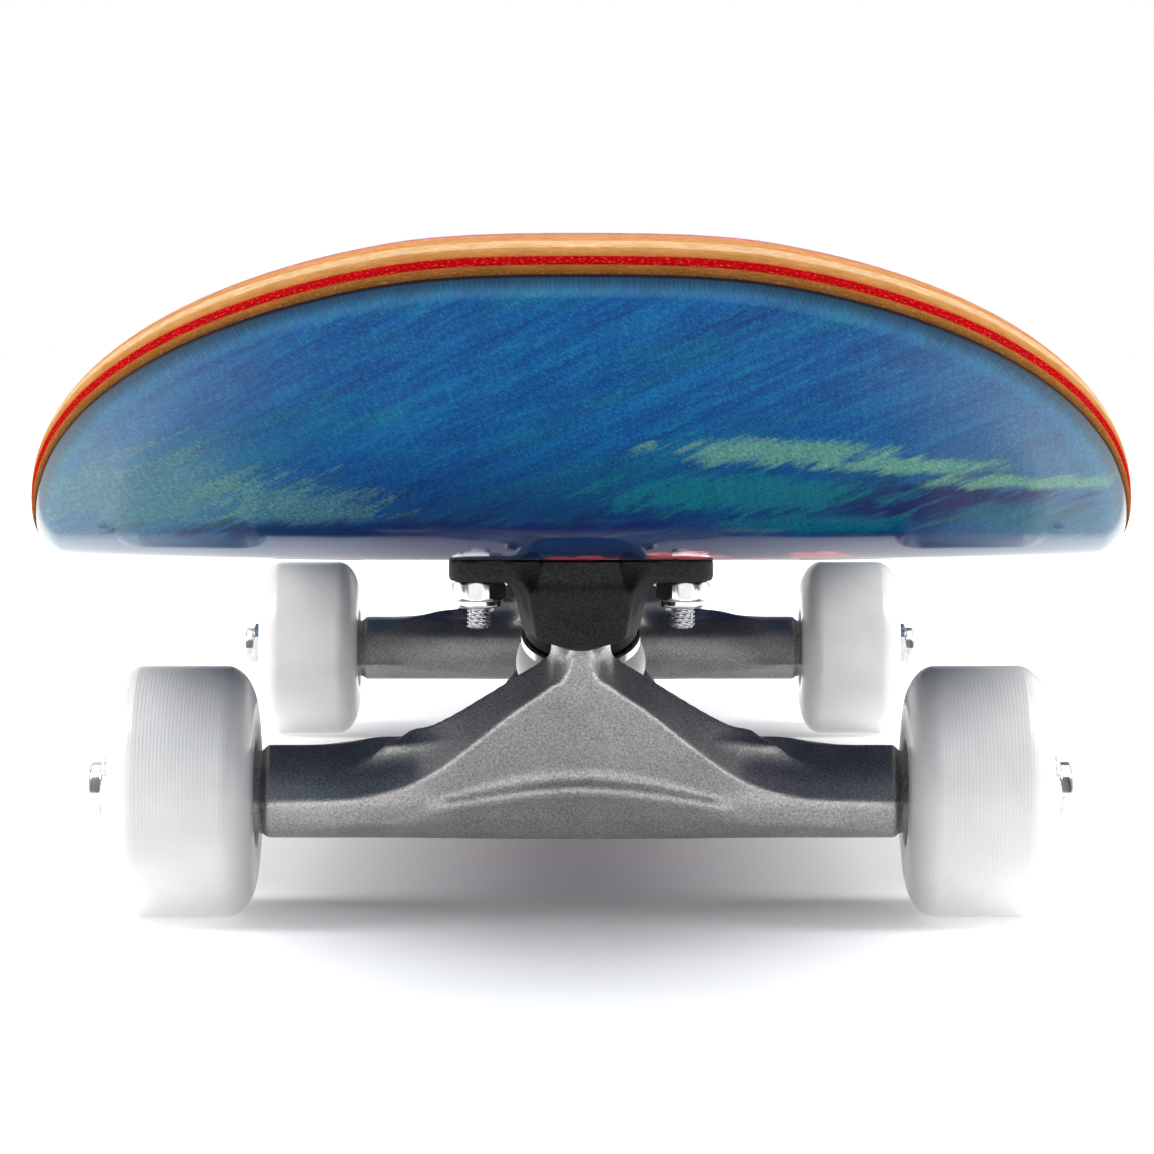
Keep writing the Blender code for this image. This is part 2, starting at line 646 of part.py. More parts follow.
def build_hanger(end, frame):
    """Make a hanger: axle bar, web, pivot pin and kingpin ring in one casting, bored for the axle."""
    steer = steer_frame(frame)
    kingpin = kingpin_frame(frame)
    name = end + "_hanger"
    ring = place(
        prism_mesh(name, RING_SIDES, RING_OUTER_RADIUS, -RING_THICKNESS / 2, RING_THICKNESS / 2),
        name,
        "hanger",
        kingpin,
    )
    yoke_frame = kingpin @ Matrix.Rotation(math.pi, 4, "Z")
    outboard = kingpin.inverted() @ (frame @ Vector((0.0, 1.0, RING_CENTRE[1])))
    if outboard.y > 0.0:
        yoke_frame = kingpin
    yoke = outline_mesh(name + "_yoke", yoke_outline(), YOKE_THICKNESS)
    combine(ring, guide(yoke, name + "_yoke", yoke_frame), "UNION")
    bar_points = [
        (0.0, HANGER_HALF_WIDTH),
        (HANGER_END_RADIUS, HANGER_HALF_WIDTH),
        (HANGER_BAR_RADIUS, HANGER_SHOULDER),
        (HANGER_BAR_RADIUS, -HANGER_SHOULDER),
        (HANGER_END_RADIUS, -HANGER_HALF_WIDTH),
        (0.0, -HANGER_HALF_WIDTH),
    ]
    sideways = Matrix.Rotation(math.pi / 2, 4, "Y")
    bar_frame = frame @ Matrix.Translation((0.0, 0.0, AXLE_HEIGHT)) @ sideways
    combine(ring, turned_guide(name + "_bar", bar_points, 14, bar_frame), "UNION")
    web = outline_mesh(name + "_web", web_outline(), WEB_THICKNESS)
    tilt = Matrix.Rotation(WEB_ANGLE, 4, "X")
    web_frame = frame @ Matrix.Translation((0.0, *WEB_FOOT)) @ tilt
    combine(ring, guide(web, name + "_web", web_frame), "UNION")
    pin_points = [
        (0.0, PIVOT_END),
        (PIVOT_END_RADIUS, PIVOT_END),
        (PIVOT_RADIUS, PIVOT_END - (PIVOT_RADIUS - PIVOT_END_RADIUS)),
        (PIVOT_RADIUS, NECK_START + (NECK_RADIUS - PIVOT_RADIUS)),
        (NECK_RADIUS, NECK_START),
        (NECK_RADIUS, NECK_END),
        (0.0, NECK_END),
    ]
    combine(ring, turned_guide(name + "_pivot", pin_points, 14, steer), "UNION")
    hole = prism_mesh(name + "_hole", BOSS_SIDES, RING_BORE_RADIUS, -RING_THICKNESS, RING_THICKNESS)
    combine(ring, guide(hole, name + "_hole", kingpin), "DIFFERENCE")
    seat = prism_mesh(name + "_seat", BOSS_SIDES, ROADSIDE_SEAT_RADIUS, -CUT_REACH, -RING_THICKNESS / 2)
    combine(ring, guide(seat, name + "_seat", kingpin), "DIFFERENCE")
    axle_frame = frame @ Matrix.Translation((0.0, 0.0, AXLE_HEIGHT)) @ sideways
    reach = AXLE_HALF_LENGTH
    bore = prism_mesh(name + "_axle_hole", ROD_SIDES, AXLE_RADIUS + BORE_CLEARANCE, -reach, reach)
    combine(ring, guide(bore, name + "_axle_hole", axle_frame), "DIFFERENCE")
    return ring


def build_kingpin(end, frame):
    """Make a kingpin: a hexagonal head on a plain shank, and its nut."""
    kingpin = kingpin_frame(frame)
    name = end + "_kingpin"
    head_top = KINGPIN_HEAD_BASE + KINGPIN_HEAD_HEIGHT
    shank_top = KINGPIN_HEAD_BASE + KINGPIN_HEAD_HEIGHT / 2
    shank = place(prism_mesh(name, ROD_SIDES, KINGPIN_RADIUS, KINGPIN_TIP, shank_top), name, "steel", kingpin)
    head = prism_mesh(name + "_head", HEX_SIDES, KINGPIN_HEX_RADIUS, KINGPIN_HEAD_BASE, head_top)
    combine(shank, guide(head, name + "_head", kingpin), "UNION")
    high = -RING_THICKNESS / 2 - ROADSIDE_STACK
    bore = KINGPIN_RADIUS + BORE_CLEARANCE
    nut_name = end + "_kingpin_nut"
    low = high - KINGPIN_NUT_HEIGHT
    hex_nut(nut_name, "steel", KINGPIN_HEX_RADIUS, bore, low, high, kingpin)


def washer_profile(flat, lip):
    """Return a cup washer's profile, flat on one side with its lip towards the bushing."""
    bore = KINGPIN_RADIUS + BORE_CLEARANCE
    step = WASHER_THICKNESS if lip > flat else -WASHER_THICKNESS
    edge = WASHER_RADIUS - WASHER_RIM
    points = [(WASHER_RADIUS, flat), (WASHER_RADIUS, lip), (edge, lip)]
    points += [(edge, flat + step), (bore, flat + step), (bore, flat)]
    if lip > flat:
        points = points[:1] + points[:0:-1]
    return points


def build_bushings(end, frame):
    """Make the two bushings and their cup washers, above and below the hanger's ring."""
    kingpin = kingpin_frame(frame)
    bore = KINGPIN_RADIUS + BORE_CLEARANCE
    face = RING_THICKNESS / 2 + GAP
    seat = KINGPIN_SEAT - GAP
    lip = seat - WASHER_THICKNESS - WASHER_LIP
    turned_part(end + "_boardside_washer", "steel", washer_profile(seat, lip), 14, kingpin)
    top = seat - WASHER_THICKNESS - GAP
    middle = (top + face) / 2
    quarter = (top - face) / 4
    barrel = [
        (BARREL_END - BUSHING_CHAMFER, top),
        (BARREL_END, top - BUSHING_CHAMFER),
        (BARREL_SHOULDER, middle + quarter),
        (BARREL_RADIUS, middle),
        (BARREL_SHOULDER, middle - quarter),
        (BARREL_END, face + BUSHING_CHAMFER),
        (BARREL_END - BUSHING_CHAMFER, face),
        (bore, face),
        (bore, top),
    ]
    turned_part(end + "_boardside_bushing", "bushing", barrel, 14, kingpin)
    low_seat = -RING_THICKNESS / 2 - ROADSIDE_STACK + GAP
    lip = low_seat + WASHER_THICKNESS + WASHER_LIP
    turned_part(end + "_roadside_washer", "steel", washer_profile(low_seat, lip), 14, kingpin)
    bottom = low_seat + WASHER_THICKNESS + GAP
    cone = [
        (CONE_RADIUS - BUSHING_CHAMFER, -face),
        (CONE_RADIUS, -face - BUSHING_CHAMFER),
        (CONE_END, bottom + BUSHING_CHAMFER),
        (CONE_END - BUSHING_CHAMFER, bottom),
        (bore, bottom),
        (bore, -face),
    ]
    turned_part(end + "_roadside_bushing", "bushing", cone, 14, kingpin)


def build_pivot_cup(end, frame):
    """Make the cup that the hanger's pivot pin turns in."""
    points = [
        (0.0, CUP_END),
        (CUP_RADIUS, CUP_END),
        (CUP_RADIUS, PIVOT_MOUTH),
        (CUP_BORE_RADIUS, PIVOT_MOUTH),
        (CUP_BORE_RADIUS, CUP_FLOOR),
        (0.0, CUP_FLOOR),
    ]
    turned_part(end + "_pivot_cup", "pivot_cup", points, 14, steer_frame(frame), closed=False)


# Wheels ----------------------------------------------------------------------------------------


def wheel_profile():
    """Return the wheel's section about its middle, from the outboard face down to the inboard one."""
    flat_radius = WHEEL_RADIUS / math.cos(math.pi / WHEEL_FACETS)
    reach = WHEEL_HALF_WIDTH - TREAD_HALF_WIDTH
    shoulder = []
    for i in range(SHOULDER_SEGMENTS + 1):
        turn = math.pi / 2 * i / SHOULDER_SEGMENTS
        radius = SHOULDER_RADIUS + (flat_radius - SHOULDER_RADIUS) * math.sin(turn)
        shoulder.append((radius, TREAD_HALF_WIDTH + reach * math.cos(turn)))
    seat = BEARING_RADIUS + GAP
    seat_floor = SPACER_HALF_LENGTH - GAP
    mouth = WHEEL_HALF_WIDTH - MOUTH_CHAMFER
    inner = [(CORE_RADIUS, seat_floor), (seat, seat_floor), (seat, mouth)]
    half = inner + [(seat + MOUTH_CHAMFER, WHEEL_HALF_WIDTH)] + shoulder
    return half + [(radius, -height) for radius, height in reversed(half)]


def build_wheel(end, side, frame, hanger):
    """Make one wheel with its bearings, the races and spacer on the axle, and the axle nut."""
    sign = 1 if side == "left" else -1
    axle_y = (frame @ Vector((0.0, 0.0, 0.0))).y
    outward = Matrix.Rotation(sign * math.pi / 2, 4, "Y")
    centre = Matrix.Translation((sign * WHEEL_CENTRE, axle_y, AXLE_HEIGHT)) @ outward
    facet_down = centre @ Matrix.Rotation(math.pi / WHEEL_FACETS, 4, "Z")
    label = f"{end}_{side}"
    pieces = [turned_part(label + "_wheel", "urethane", wheel_profile(), WHEEL_FACETS, facet_down)]
    far = SPACER_HALF_LENGTH + BEARING_WIDTH
    for place_name, low in (("outboard", SPACER_HALF_LENGTH), ("inboard", -far)):
        high = low + BEARING_WIDTH
        inside = BEARING_RADIUS - BEARING_OUTER_RACE
        points = [(BEARING_RADIUS, high), (BEARING_RADIUS, low), (inside, low), (inside, high)]
        pieces.append(turned_part(f"{label}_{place_name}_bearing", "steel", points, 16, centre))
    bore = AXLE_RADIUS + BORE_CLEARANCE
    sleeve = [
        (INNER_RACE_RADIUS, far),
        (INNER_RACE_RADIUS, SPACER_HALF_LENGTH),
        (SPACER_RADIUS, SPACER_HALF_LENGTH),
        (SPACER_RADIUS, -SPACER_HALF_LENGTH),
        (INNER_RACE_RADIUS, -SPACER_HALF_LENGTH),
        (INNER_RACE_RADIUS, -far),
        (bore, -far),
        (bore, far),
    ]
    pieces.append(turned_part(label + "_bearing_spacer", "steel", sleeve, 12, centre))
    low = AXLE_NUT_START - WHEEL_CENTRE
    high = AXLE_NUT_END - WHEEL_CENTRE
    pieces.append(hex_nut(label + "_axle_nut", "steel", AXLE_NUT_HEX_RADIUS, bore, low, high, centre))
    for piece in pieces:
        attach(piece, hanger)


def build_truck(end):
    """Make one truck with its two wheels."""
    frame = truck_frame(end)
    build_baseplate(end, frame)
    build_pivot_cup(end, frame)
    build_kingpin(end, frame)
    build_bushings(end, frame)
    hanger = build_hanger(end, frame)
    sideways = Matrix.Rotation(math.pi / 2, 4, "Y")
    axle_frame = frame @ Matrix.Translation((0.0, 0.0, AXLE_HEIGHT)) @ sideways
    name = end + "_axle"
    axle_mesh = prism_mesh(name, ROD_SIDES, AXLE_RADIUS, -AXLE_HALF_LENGTH, AXLE_HALF_LENGTH)
    attach(place(axle_mesh, name, "steel", axle_frame), hanger)
    for side in ("left", "right"):
        build_wheel(end, side, frame, hanger)


def main():
    """Build the whole skateboard."""
    clear_scene()
    build_deck()
    build_grip()
    build_hardware()
    for end in ("front", "rear"):
        build_truck(end)
    bpy.context.view_layer.update()


main()
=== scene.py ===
"""The look of a street skateboard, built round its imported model.

The board lies along Y with its nose at -Y and stands on Z = 0; a rider facing the nose has +X on the
left. Scene lengths are in metres. A truck is shaped in millimetres, in its own frame: X across it, S
outboard from below its axle, and Z up.
"""
import json
import math

import bpy
import numpy as np
from mathutils import Matrix, Vector, kdtree


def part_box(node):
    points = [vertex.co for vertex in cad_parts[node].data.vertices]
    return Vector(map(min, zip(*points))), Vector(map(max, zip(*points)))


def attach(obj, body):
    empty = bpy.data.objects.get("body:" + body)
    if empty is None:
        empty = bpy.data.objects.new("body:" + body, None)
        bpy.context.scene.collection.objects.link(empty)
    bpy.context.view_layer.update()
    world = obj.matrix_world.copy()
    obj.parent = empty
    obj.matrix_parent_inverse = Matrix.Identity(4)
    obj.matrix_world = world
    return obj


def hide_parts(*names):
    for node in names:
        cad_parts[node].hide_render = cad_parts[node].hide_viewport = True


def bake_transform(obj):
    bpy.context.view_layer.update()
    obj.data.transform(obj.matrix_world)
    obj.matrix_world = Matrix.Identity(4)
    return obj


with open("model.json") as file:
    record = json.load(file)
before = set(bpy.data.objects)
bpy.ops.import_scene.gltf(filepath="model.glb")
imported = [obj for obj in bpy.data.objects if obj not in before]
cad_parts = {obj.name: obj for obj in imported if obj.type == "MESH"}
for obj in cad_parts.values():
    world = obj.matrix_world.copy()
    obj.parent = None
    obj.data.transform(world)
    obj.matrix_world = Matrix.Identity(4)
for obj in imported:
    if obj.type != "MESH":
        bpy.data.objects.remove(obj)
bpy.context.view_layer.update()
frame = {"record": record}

MM = 0.001
ENDS = ("front", "rear")
SIDES = (("left", 1.0), ("right", -1.0))

# Camera and studio.
CAMERA_AT = (-0.0008, -1.1275, 0.119)
CAMERA_PITCH = math.radians(3.04)
LENS = 138.45
SENSOR = 36.0
FLOOR_HALF = 60.0
SHADOW_REACH = (0.17, 0.30)

# Deck, in metres, measured from the middle of the wheelbase.
HALF_WIDTH = 0.1048
THICKNESS = 0.011
EDGE = 0.005
KICK_START = 0.247
KICK_RADIUS = 0.150
FULL_WIDTH_END = 0.270
TIPS = (0.407, 0.400)
KICK_ANGLES = (math.radians(21.5), math.radians(20.0))
OUTLINE_POWER = 2.15
TIP_FRACTION = 0.985
TIP_BLEND = 0.004
CONCAVE_RISE = 0.0075
CONCAVE_FLAT = 0.034
CONCAVE_SPAN = 0.065
CONCAVE_END = 0.292
CONCAVE_RAMP = 0.150
GRIP_INSET = 0.006
GRIP_LOW = 0.0058
GRIP_HIGH = 0.0064
TIP_ROWS = 44
MIDDLE_ROWS = 180
COLUMNS = 56
RIM_RINGS = 9

deck_low, deck_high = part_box("deck")
DECK_BOTTOM = deck_low.z
WHEELBASE_Y = (deck_high.y + deck_low.y) / 2 + (TIPS[0] - TIPS[1]) / 2

# Truck, in millimetres.
AXLE_Z = 26.0
STEER_AT = (26.0, 66.0)
RING_AT = (-14.0, 43.0)
KINGPIN_DIRECTION = (math.cos(math.radians(62)), math.sin(math.radians(62)))
BAR_HALF = 68.7
BAR_BEVEL = (64.4, 66.2)
BAR_BOTTOM = 16.3
RING_RADIUS = 15.5
RING_HALF = 4.5
RING_BORE = 8.3
BUSHING_SEATS = (12.7, 11.6)
AXLE_BORE = 4.3
PLATE_HALF = (26.6, 39.0)
PLATE_MIDDLE = -8.0
PLATE_CORNER = 7.5
PLATE_FACES = (70.9, 75.25)
HOUSING_END = 35.2
HOUSING_FOOT = 57.9
HOLE_X = 20.65
HOLES_S = (19.0, -35.0)
HOLE_RADIUS = 2.8
CUP_BORE = 6.8
KINGPIN_BORE = 5.1
KINGPIN_SEAT = 8.7

# Turned parts, in millimetres.
DECK_BOLT_RADIUS = 2.4
DECK_BOLT_PITCH = 0.79
DECK_NUT_CORNER = 5.48
KINGPIN_RADIUS = 4.75
KINGPIN_PITCH = 1.06
KINGPIN_CORNER = 8.26
KINGPIN_SPAN = (-26.0, 31.8)
CUSHION_BORE = 5.1
BOARDSIDE_CUSHION = (4.8, 16.2)
ROADSIDE_CUSHION = (-4.8, -14.2)
AXLE_RADIUS = 4.0
AXLE_HALF = 101.5
AXLE_NUT_CORNER = 7.33
WHEEL_RADIUS = 26.0
WHEEL_HALF = 14.75
WHEEL_MIDDLE = 81.75
TREAD_HALF = 8.5


# Meshes ----------------------------------------------------------------------------------------


def link(name, data):
    """Add an object to the scene."""
    thing = bpy.data.objects.new(name, data)
    bpy.context.scene.collection.objects.link(thing)
    return thing


def mesh_from(name, vertices, faces, sharp_angle=40.0):
    """Return a mesh, shaded smooth with its sharp edges kept."""
    mesh = bpy.data.meshes.new(name)
    mesh.from_pydata(np.asarray(vertices).tolist(), [], faces)
    mesh.validate()
    mesh.update()
    mesh.shade_smooth()
    mesh.set_sharp_from_angle(angle=math.radians(sharp_angle))
    return mesh


def put(name, mesh, finish, body=None, replaces=(), matrix=None):
    """Make a piece of the board from a mesh, and say what it rides on and stands for."""
    piece = link(name, mesh)
    if matrix is not None:
        piece.matrix_world = matrix
    if not mesh.materials:
        mesh.materials.append(finish)
    if body is not None:
        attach(piece, body)
    if replaces:
        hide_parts(*replaces)
    return piece


def give_attribute(mesh, name, values):
    """Store one number for each vertex of a mesh."""
    attribute = mesh.attributes.new(name, "FLOAT", "POINT")
    attribute.data.foreach_set("value", np.asarray(values, np.float32))


def hex_radius(angles, circumradius):
    """Return a hexagon's radius at each angle."""
    flat = circumradius * math.cos(math.pi / 6)
    return flat / np.cos(np.mod(angles, math.pi / 3) - math.pi / 6)


def turned(name, rows, segments, closed=False, thread=None, sharp_angle=35.0):
    """Return a turned mesh about Z from (radius, height) rows, whose third value is a hexagon's radius.

    The rows run down the outside. thread is (low, high, pitch, depth) of a screw thread on them.
    """
    angles = np.arange(segments) * (2 * math.pi / segments)
    rings = []
    for row in rows:
        radius = np.full(segments, float(row[0]))
        height = np.full(segments, float(row[1]))
        if len(row) > 2:
            radius = np.minimum(radius, hex_radius(angles, row[2]))
        if thread and thread[0] <= row[1] <= thread[1]:
            turn = np.mod(row[1] / thread[2] - angles / (2 * math.pi), 1.0)
            radius = radius - thread[3] * np.clip(np.abs(turn * 2 - 1) * 1.6 - 0.3, 0.0, 1.0)
        rings.append(np.stack([radius * np.cos(angles), radius * np.sin(angles), height], 1))
    vertices = np.concatenate(rings) * MM
    faces = []
    count = len(rows)
    for i in range(count if closed else count - 1):
        top = i * segments
        low = (i + 1) % count * segments
        for j in range(segments):
            k = (j + 1) % segments
            faces.append((top + j, low + j, low + k, top + k))
    if not closed:
        faces.append(tuple(range(segments)))
        faces.append(tuple(reversed(range((count - 1) * segments, count * segments))))
    return mesh_from(name, vertices, faces, sharp_angle)


def arc_rows(centre_radius, centre_height, radius, start, end, steps):
    """Return rows on an arc, from one angle to another in degrees."""
    rows = []
    for i in range(steps + 1):
        angle = math.radians(start + (end - start) * i / steps)
        rows.append((centre_radius + radius * math.cos(angle), centre_height + radius * math.sin(angle)))
    return rows


def surface_net(field, low, step):
    """Return the vertices and quads of a sampled field's zero surface."""
    inside = field < 0.0
    cells = tuple(n - 1 for n in field.shape)
    total = np.zeros((3, *cells))
    count = np.zeros(cells)
    crossings = []
    index = [np.arange(n).reshape([-1 if a == b else 1 for b in range(3)]) for a, n in enumerate(cells)]
    for axis in range(3):
        first = tuple(slice(0, -1) if a == axis else slice(None) for a in range(3))
        last = tuple(slice(1, None) if a == axis else slice(None) for a in range(3))
        crossing = inside[first] != inside[last]
        gap = field[first] - field[last]
        share = np.where(crossing, field[first] / np.where(gap == 0.0, 1.0, gap), 0.0)
        crossings.append((crossing, inside[first]))
        one, two = (axis + 1) % 3, (axis + 2) % 3
        for i in (0, 1):
            for j in (0, 1):
                cut = [slice(None)] * 3
                cut[one] = slice(i, i + cells[one])
                cut[two] = slice(j, j + cells[two])
                hit = crossing[tuple(cut)]
                count += hit
                total[axis] += hit * (index[axis] + share[tuple(cut)])
                total[one] += hit * (index[one] + i)
                total[two] += hit * (index[two] + j)
    used = count > 0
    number = np.cumsum(used.ravel()).reshape(cells) - 1
    points = np.stack([(total[a][used] / count[used]) * step + low[a] for a in range(3)], 1)
    quads = []
    for axis in range(3):
        one, two = (axis + 1) % 3, (axis + 2) % 3
        crossing, outward = crossings[axis]
        middle = [slice(None)] * 3
        middle[one] = slice(1, -1)
        middle[two] = slice(1, -1)
        at = np.argwhere(crossing[tuple(middle)])
        at[:, one] += 1
        at[:, two] += 1
        corners = []
        for i, j in ((-1, -1), (0, -1), (0, 0), (-1, 0)):
            cell = at.copy()
            cell[:, one] += i
            cell[:, two] += j
            corners.append(number[cell[:, 0], cell[:, 1], cell[:, 2]])
        quad = np.stack(corners, 1)
        flip = ~outward[at[:, 0], at[:, 1], at[:, 2]]
        quad[flip] = quad[flip][:, ::-1]
        quads.append(quad)
    return points, np.concatenate(quads)


def solid_mesh(name, field, low, high, step):
    """Return the mesh of a shape given by a signed distance in millimetres."""
    axes = [np.arange(a, b + step, step) for a, b in zip(low, high)]
    grid = np.meshgrid(*axes, indexing="ij")
    points, quads = surface_net(field(*grid), low, step)
    for _ in range(3):
        value = field(*points.T)
        slope = []
        for axis in range(3):
            ahead = points.copy()
            ahead[:, axis] += 0.05
            slope.append((field(*ahead.T) - value) / 0.05)
        slope = np.stack(slope, 1)
        size = np.maximum((slope ** 2).sum(1), 0.2)
        move = slope * (value / size)[:, None]
        points = points - np.clip(move, -0.5 * step, 0.5 * step)
    return mesh_from(name, points * MM, quads.tolist(), 50.0)


# Distances -------------------------------------------------------------------------------------


def join(a, b, k):
    """Return the union of two distances, with a fillet."""
    h = np.clip(0.5 + 0.5 * (b - a) / k, 0.0, 1.0)
    return b + (a - b) * h - k * h * (1 - h)


def meet(a, b, k):
    """Return the intersection of two distances, with a rounded edge."""
    return -join(-a, -b, k)


def cut(a, b, k):
    """Return one distance with the other removed."""
    return meet(a, -b, k)


def smoothstep(value, low, high):
    """Return a smooth ramp from 0 to 1."""
    t = np.clip((value - low) / (high - low), 0.0, 1.0)
    return t * t * (3 - 2 * t)


def curve_through(points, at):
    """Return a smooth curve's value through (place, value) points."""
    xs = np.array([p[0] for p in points], float)
    ys = np.array([p[1] for p in points], float)
    steps = np.diff(xs)
    slopes = np.diff(ys) / steps
    tangents = np.concatenate([[slopes[0]], (slopes[:-1] + slopes[1:]) / 2, [slopes[-1]]])
    at = np.clip(at, xs[0], xs[-1])
    i = np.clip(np.searchsorted(xs, at, side="right") - 1, 0, len(steps) - 1)
    t = (at - xs[i]) / steps[i]
    rise = (2 * t ** 3 - 3 * t ** 2 + 1) * ys[i] + (3 * t ** 2 - 2 * t ** 3) * ys[i + 1]
    bend = (t ** 3 - 2 * t ** 2 + t) * tangents[i] + (t ** 3 - t ** 2) * tangents[i + 1]
    return rise + bend * steps[i]


def polygon_distance(s, z, corners, k):
    """Return the distance to a convex outline whose corners run anticlockwise in S and Z."""
    result = None
    for (s0, z0), (s1, z1) in zip(corners, corners[1:] + corners[:1]):
        length = math.hypot(s1 - s0, z1 - z0)
        side = ((s - s0) * (z1 - z0) - (z - z0) * (s1 - s0)) / length
        result = side if result is None else meet(result, side, k)
    return result


def rod(x, s, z, origin, direction, low, high, radius, k=0.6):
    """Return the distance to a rod in the plane across X."""
    along = (s - origin[0]) * direction[0] + (z - origin[1]) * direction[1]
    off = (s - origin[0]) * direction[1] - (z - origin[1]) * direction[0]
    side = np.sqrt(x ** 2 + off ** 2) - radius
    return meet(meet(side, low - along, k), along - high, k)


# Truck shapes ----------------------------------------------------------------------------------

BAR_SECTION = [
    (9.2, 24.4), (7.5, 29.1), (4.6, 32.5), (-0.5, 35.7), (-5.0, 34.9), (-9.0, 30.4), (-9.7, 26.0),
    (-8.8, 21.4), (-5.2, 17.2), (0.0, 16.3), (3.6, 17.0), (6.4, 19.2), (8.3, 22.0),
]
FLANK_TOP = (
    (0.0, 62.0), (3.0, 60.2), (5.2, 57.4), (6.4, 55.3), (8.3, 53.8), (12.5, 51.2), (20.0, 46.3),
    (26.9, 42.1), (33.8, 38.6), (40.7, 35.3), (47.0, 32.4), (54.0, 30.4), (62.0, 28.8), (75.0, 26.5),
)
FLANK_FOOT = (
    (0.0, 58.5), (1.6, 56.4), (2.7, 52.2), (6.2, 49.1), (13.1, 44.2), (22.5, 36.6), (29.6, 31.2),
    (36.5, 27.6), (44.0, 25.4), (52.0, 23.6), (62.0, 21.8), (75.0, 19.5),
)
FACE_SLOPE = 0.45
FACE_AT = (9.2, 24.4)
WEB_DEPTH = 9.6
STEER_RUN = STEER_AT[0] - RING_AT[0]
STEER_RISE = STEER_AT[1] - RING_AT[1]
STEER_LENGTH = math.hypot(STEER_RUN, STEER_RISE)
STEER_DIRECTION = (STEER_RUN / STEER_LENGTH, STEER_RISE / STEER_LENGTH)
YOKE_SIDE = ((-6.0, 14.6), (0.0, 15.0), (6.0, 16.4), (12.0, 21.5), (19.0, 36.0), (24.0, 46.0))


def hanger_distance(x, s, z):
    """Return the distance to a hanger: a faceted axle bar, a web up to the pivot, and a kingpin ring."""
    ax = np.abs(x)
    taper = 1.15 * smoothstep(ax, *BAR_BEVEL)
    bar = polygon_distance(s, z, BAR_SECTION, 0.8) + taper
    face = FACE_AT[0] + FACE_SLOPE * (z - FACE_AT[1]) - 3.4 * smoothstep(ax, 43.0, 60.0)
    lean = math.hypot(1.0, FACE_SLOPE)
    foot = curve_through(FLANK_FOOT, ax)
    top = curve_through(FLANK_TOP, ax)
    depth = WEB_DEPTH + 5.4 * smoothstep(ax, 26.0, 52.0)
    climb = (top - foot) / depth
    front = (s - face) / lean
    flank = (z - foot - (face - s) * climb) / np.sqrt(1.4 + climb ** 2)
    back = (face - depth - 1.0 - s) / lean
    web = meet(meet(front, flank, 0.5), back, 1.5)
    web = meet(web, 21.0 - z, 1.0)
    web = meet(web, z - 59.5, 1.5)
    body = join(bar, web, 0.9 + 5.0 * smoothstep(ax, 22.0, 40.0))
    # The roll along the bar's lower edge stands proud of the face, under a narrow ledge.
    line = 27.2 - 7.15 * (ax / 42.0) ** 1.6
    proud = 4.4 * np.maximum(1 - (ax / 54.0) ** 2, -0.2) - 1.2
    edge = FACE_AT[0] + FACE_SLOPE * (line - FACE_AT[1]) + proud
    ledge = (z - line + 1.35 * (s - edge)) / 1.68
    under = BAR_BOTTOM + 0.05
    fall = (line - under) / (edge - 1.5)
    roll = ((s - edge) * fall - (z - line)) / np.sqrt(1 + fall ** 2)
    roll = meet(meet(ledge, roll, 2.2), meet(under - z, -s, 0.5), 1.2)
    body = join(body, roll, 0.3 + 2.4 * (1 - smoothstep(ax, 8.0, 44.0)))
    body = meet(body, BAR_BOTTOM - z, 0.4)
    # Hollows beside the neck.
    run = np.clip((57.0 - z) / 9.0, 0.0, 1.0)
    hollow_x = 3.9 + 4.6 * run
    hollow = np.sqrt((ax - hollow_x) ** 2 + (s - face - 0.3) ** 2) - (2.2 - 1.5 * run)
    hollow = meet(hollow, 47.5 - z, 1.0)
    body = cut(body, hollow, 0.5)
    # The ring and its yoke.
    along = (s - RING_AT[0]) * KINGPIN_DIRECTION[0] + (z - RING_AT[1]) * KINGPIN_DIRECTION[1]
    out = (s - RING_AT[0]) * KINGPIN_DIRECTION[1] - (z - RING_AT[1]) * KINGPIN_DIRECTION[0]
    across = np.sqrt(x ** 2 + out ** 2)
    ring = meet(across - RING_RADIUS, np.abs(along) - RING_HALF, 1.2)
    half = curve_through(YOKE_SIDE, out)
    yoke = meet((ax - half) * 0.75, np.abs(along + 0.3) - 3.7, 1.4)
    yoke = meet(yoke, -out - 2.0, 1.0)
    yoke = meet(yoke, out - 21.0, 1.0)
    rear = join(ring, yoke, 2.5)
    body = join(body, rear, 4.0)
    neck = rod(x, s, z, STEER_AT, STEER_DIRECTION, -15.0, -5.2, 6.0, 1.2)
    pin = rod(x, s, z, STEER_AT, STEER_DIRECTION, -16.0, 2.4, 4.8, 1.5)
    body = join(body, join(neck, pin, 0.8), 2.2)
    body = cut(body, across - RING_BORE, 0.5)
    body = cut(body, meet(across - BUSHING_SEATS[0], along + RING_HALF, 0.3), 0.4)
    body = cut(body, meet(across - BUSHING_SEATS[1], RING_HALF - 0.2 - along, 0.3), 0.4)
    body = meet(body, ax - BAR_HALF, 0.5)
    return cut(body, np.sqrt(s ** 2 + (z - AXLE_Z) ** 2) - AXLE_BORE, 0.3)


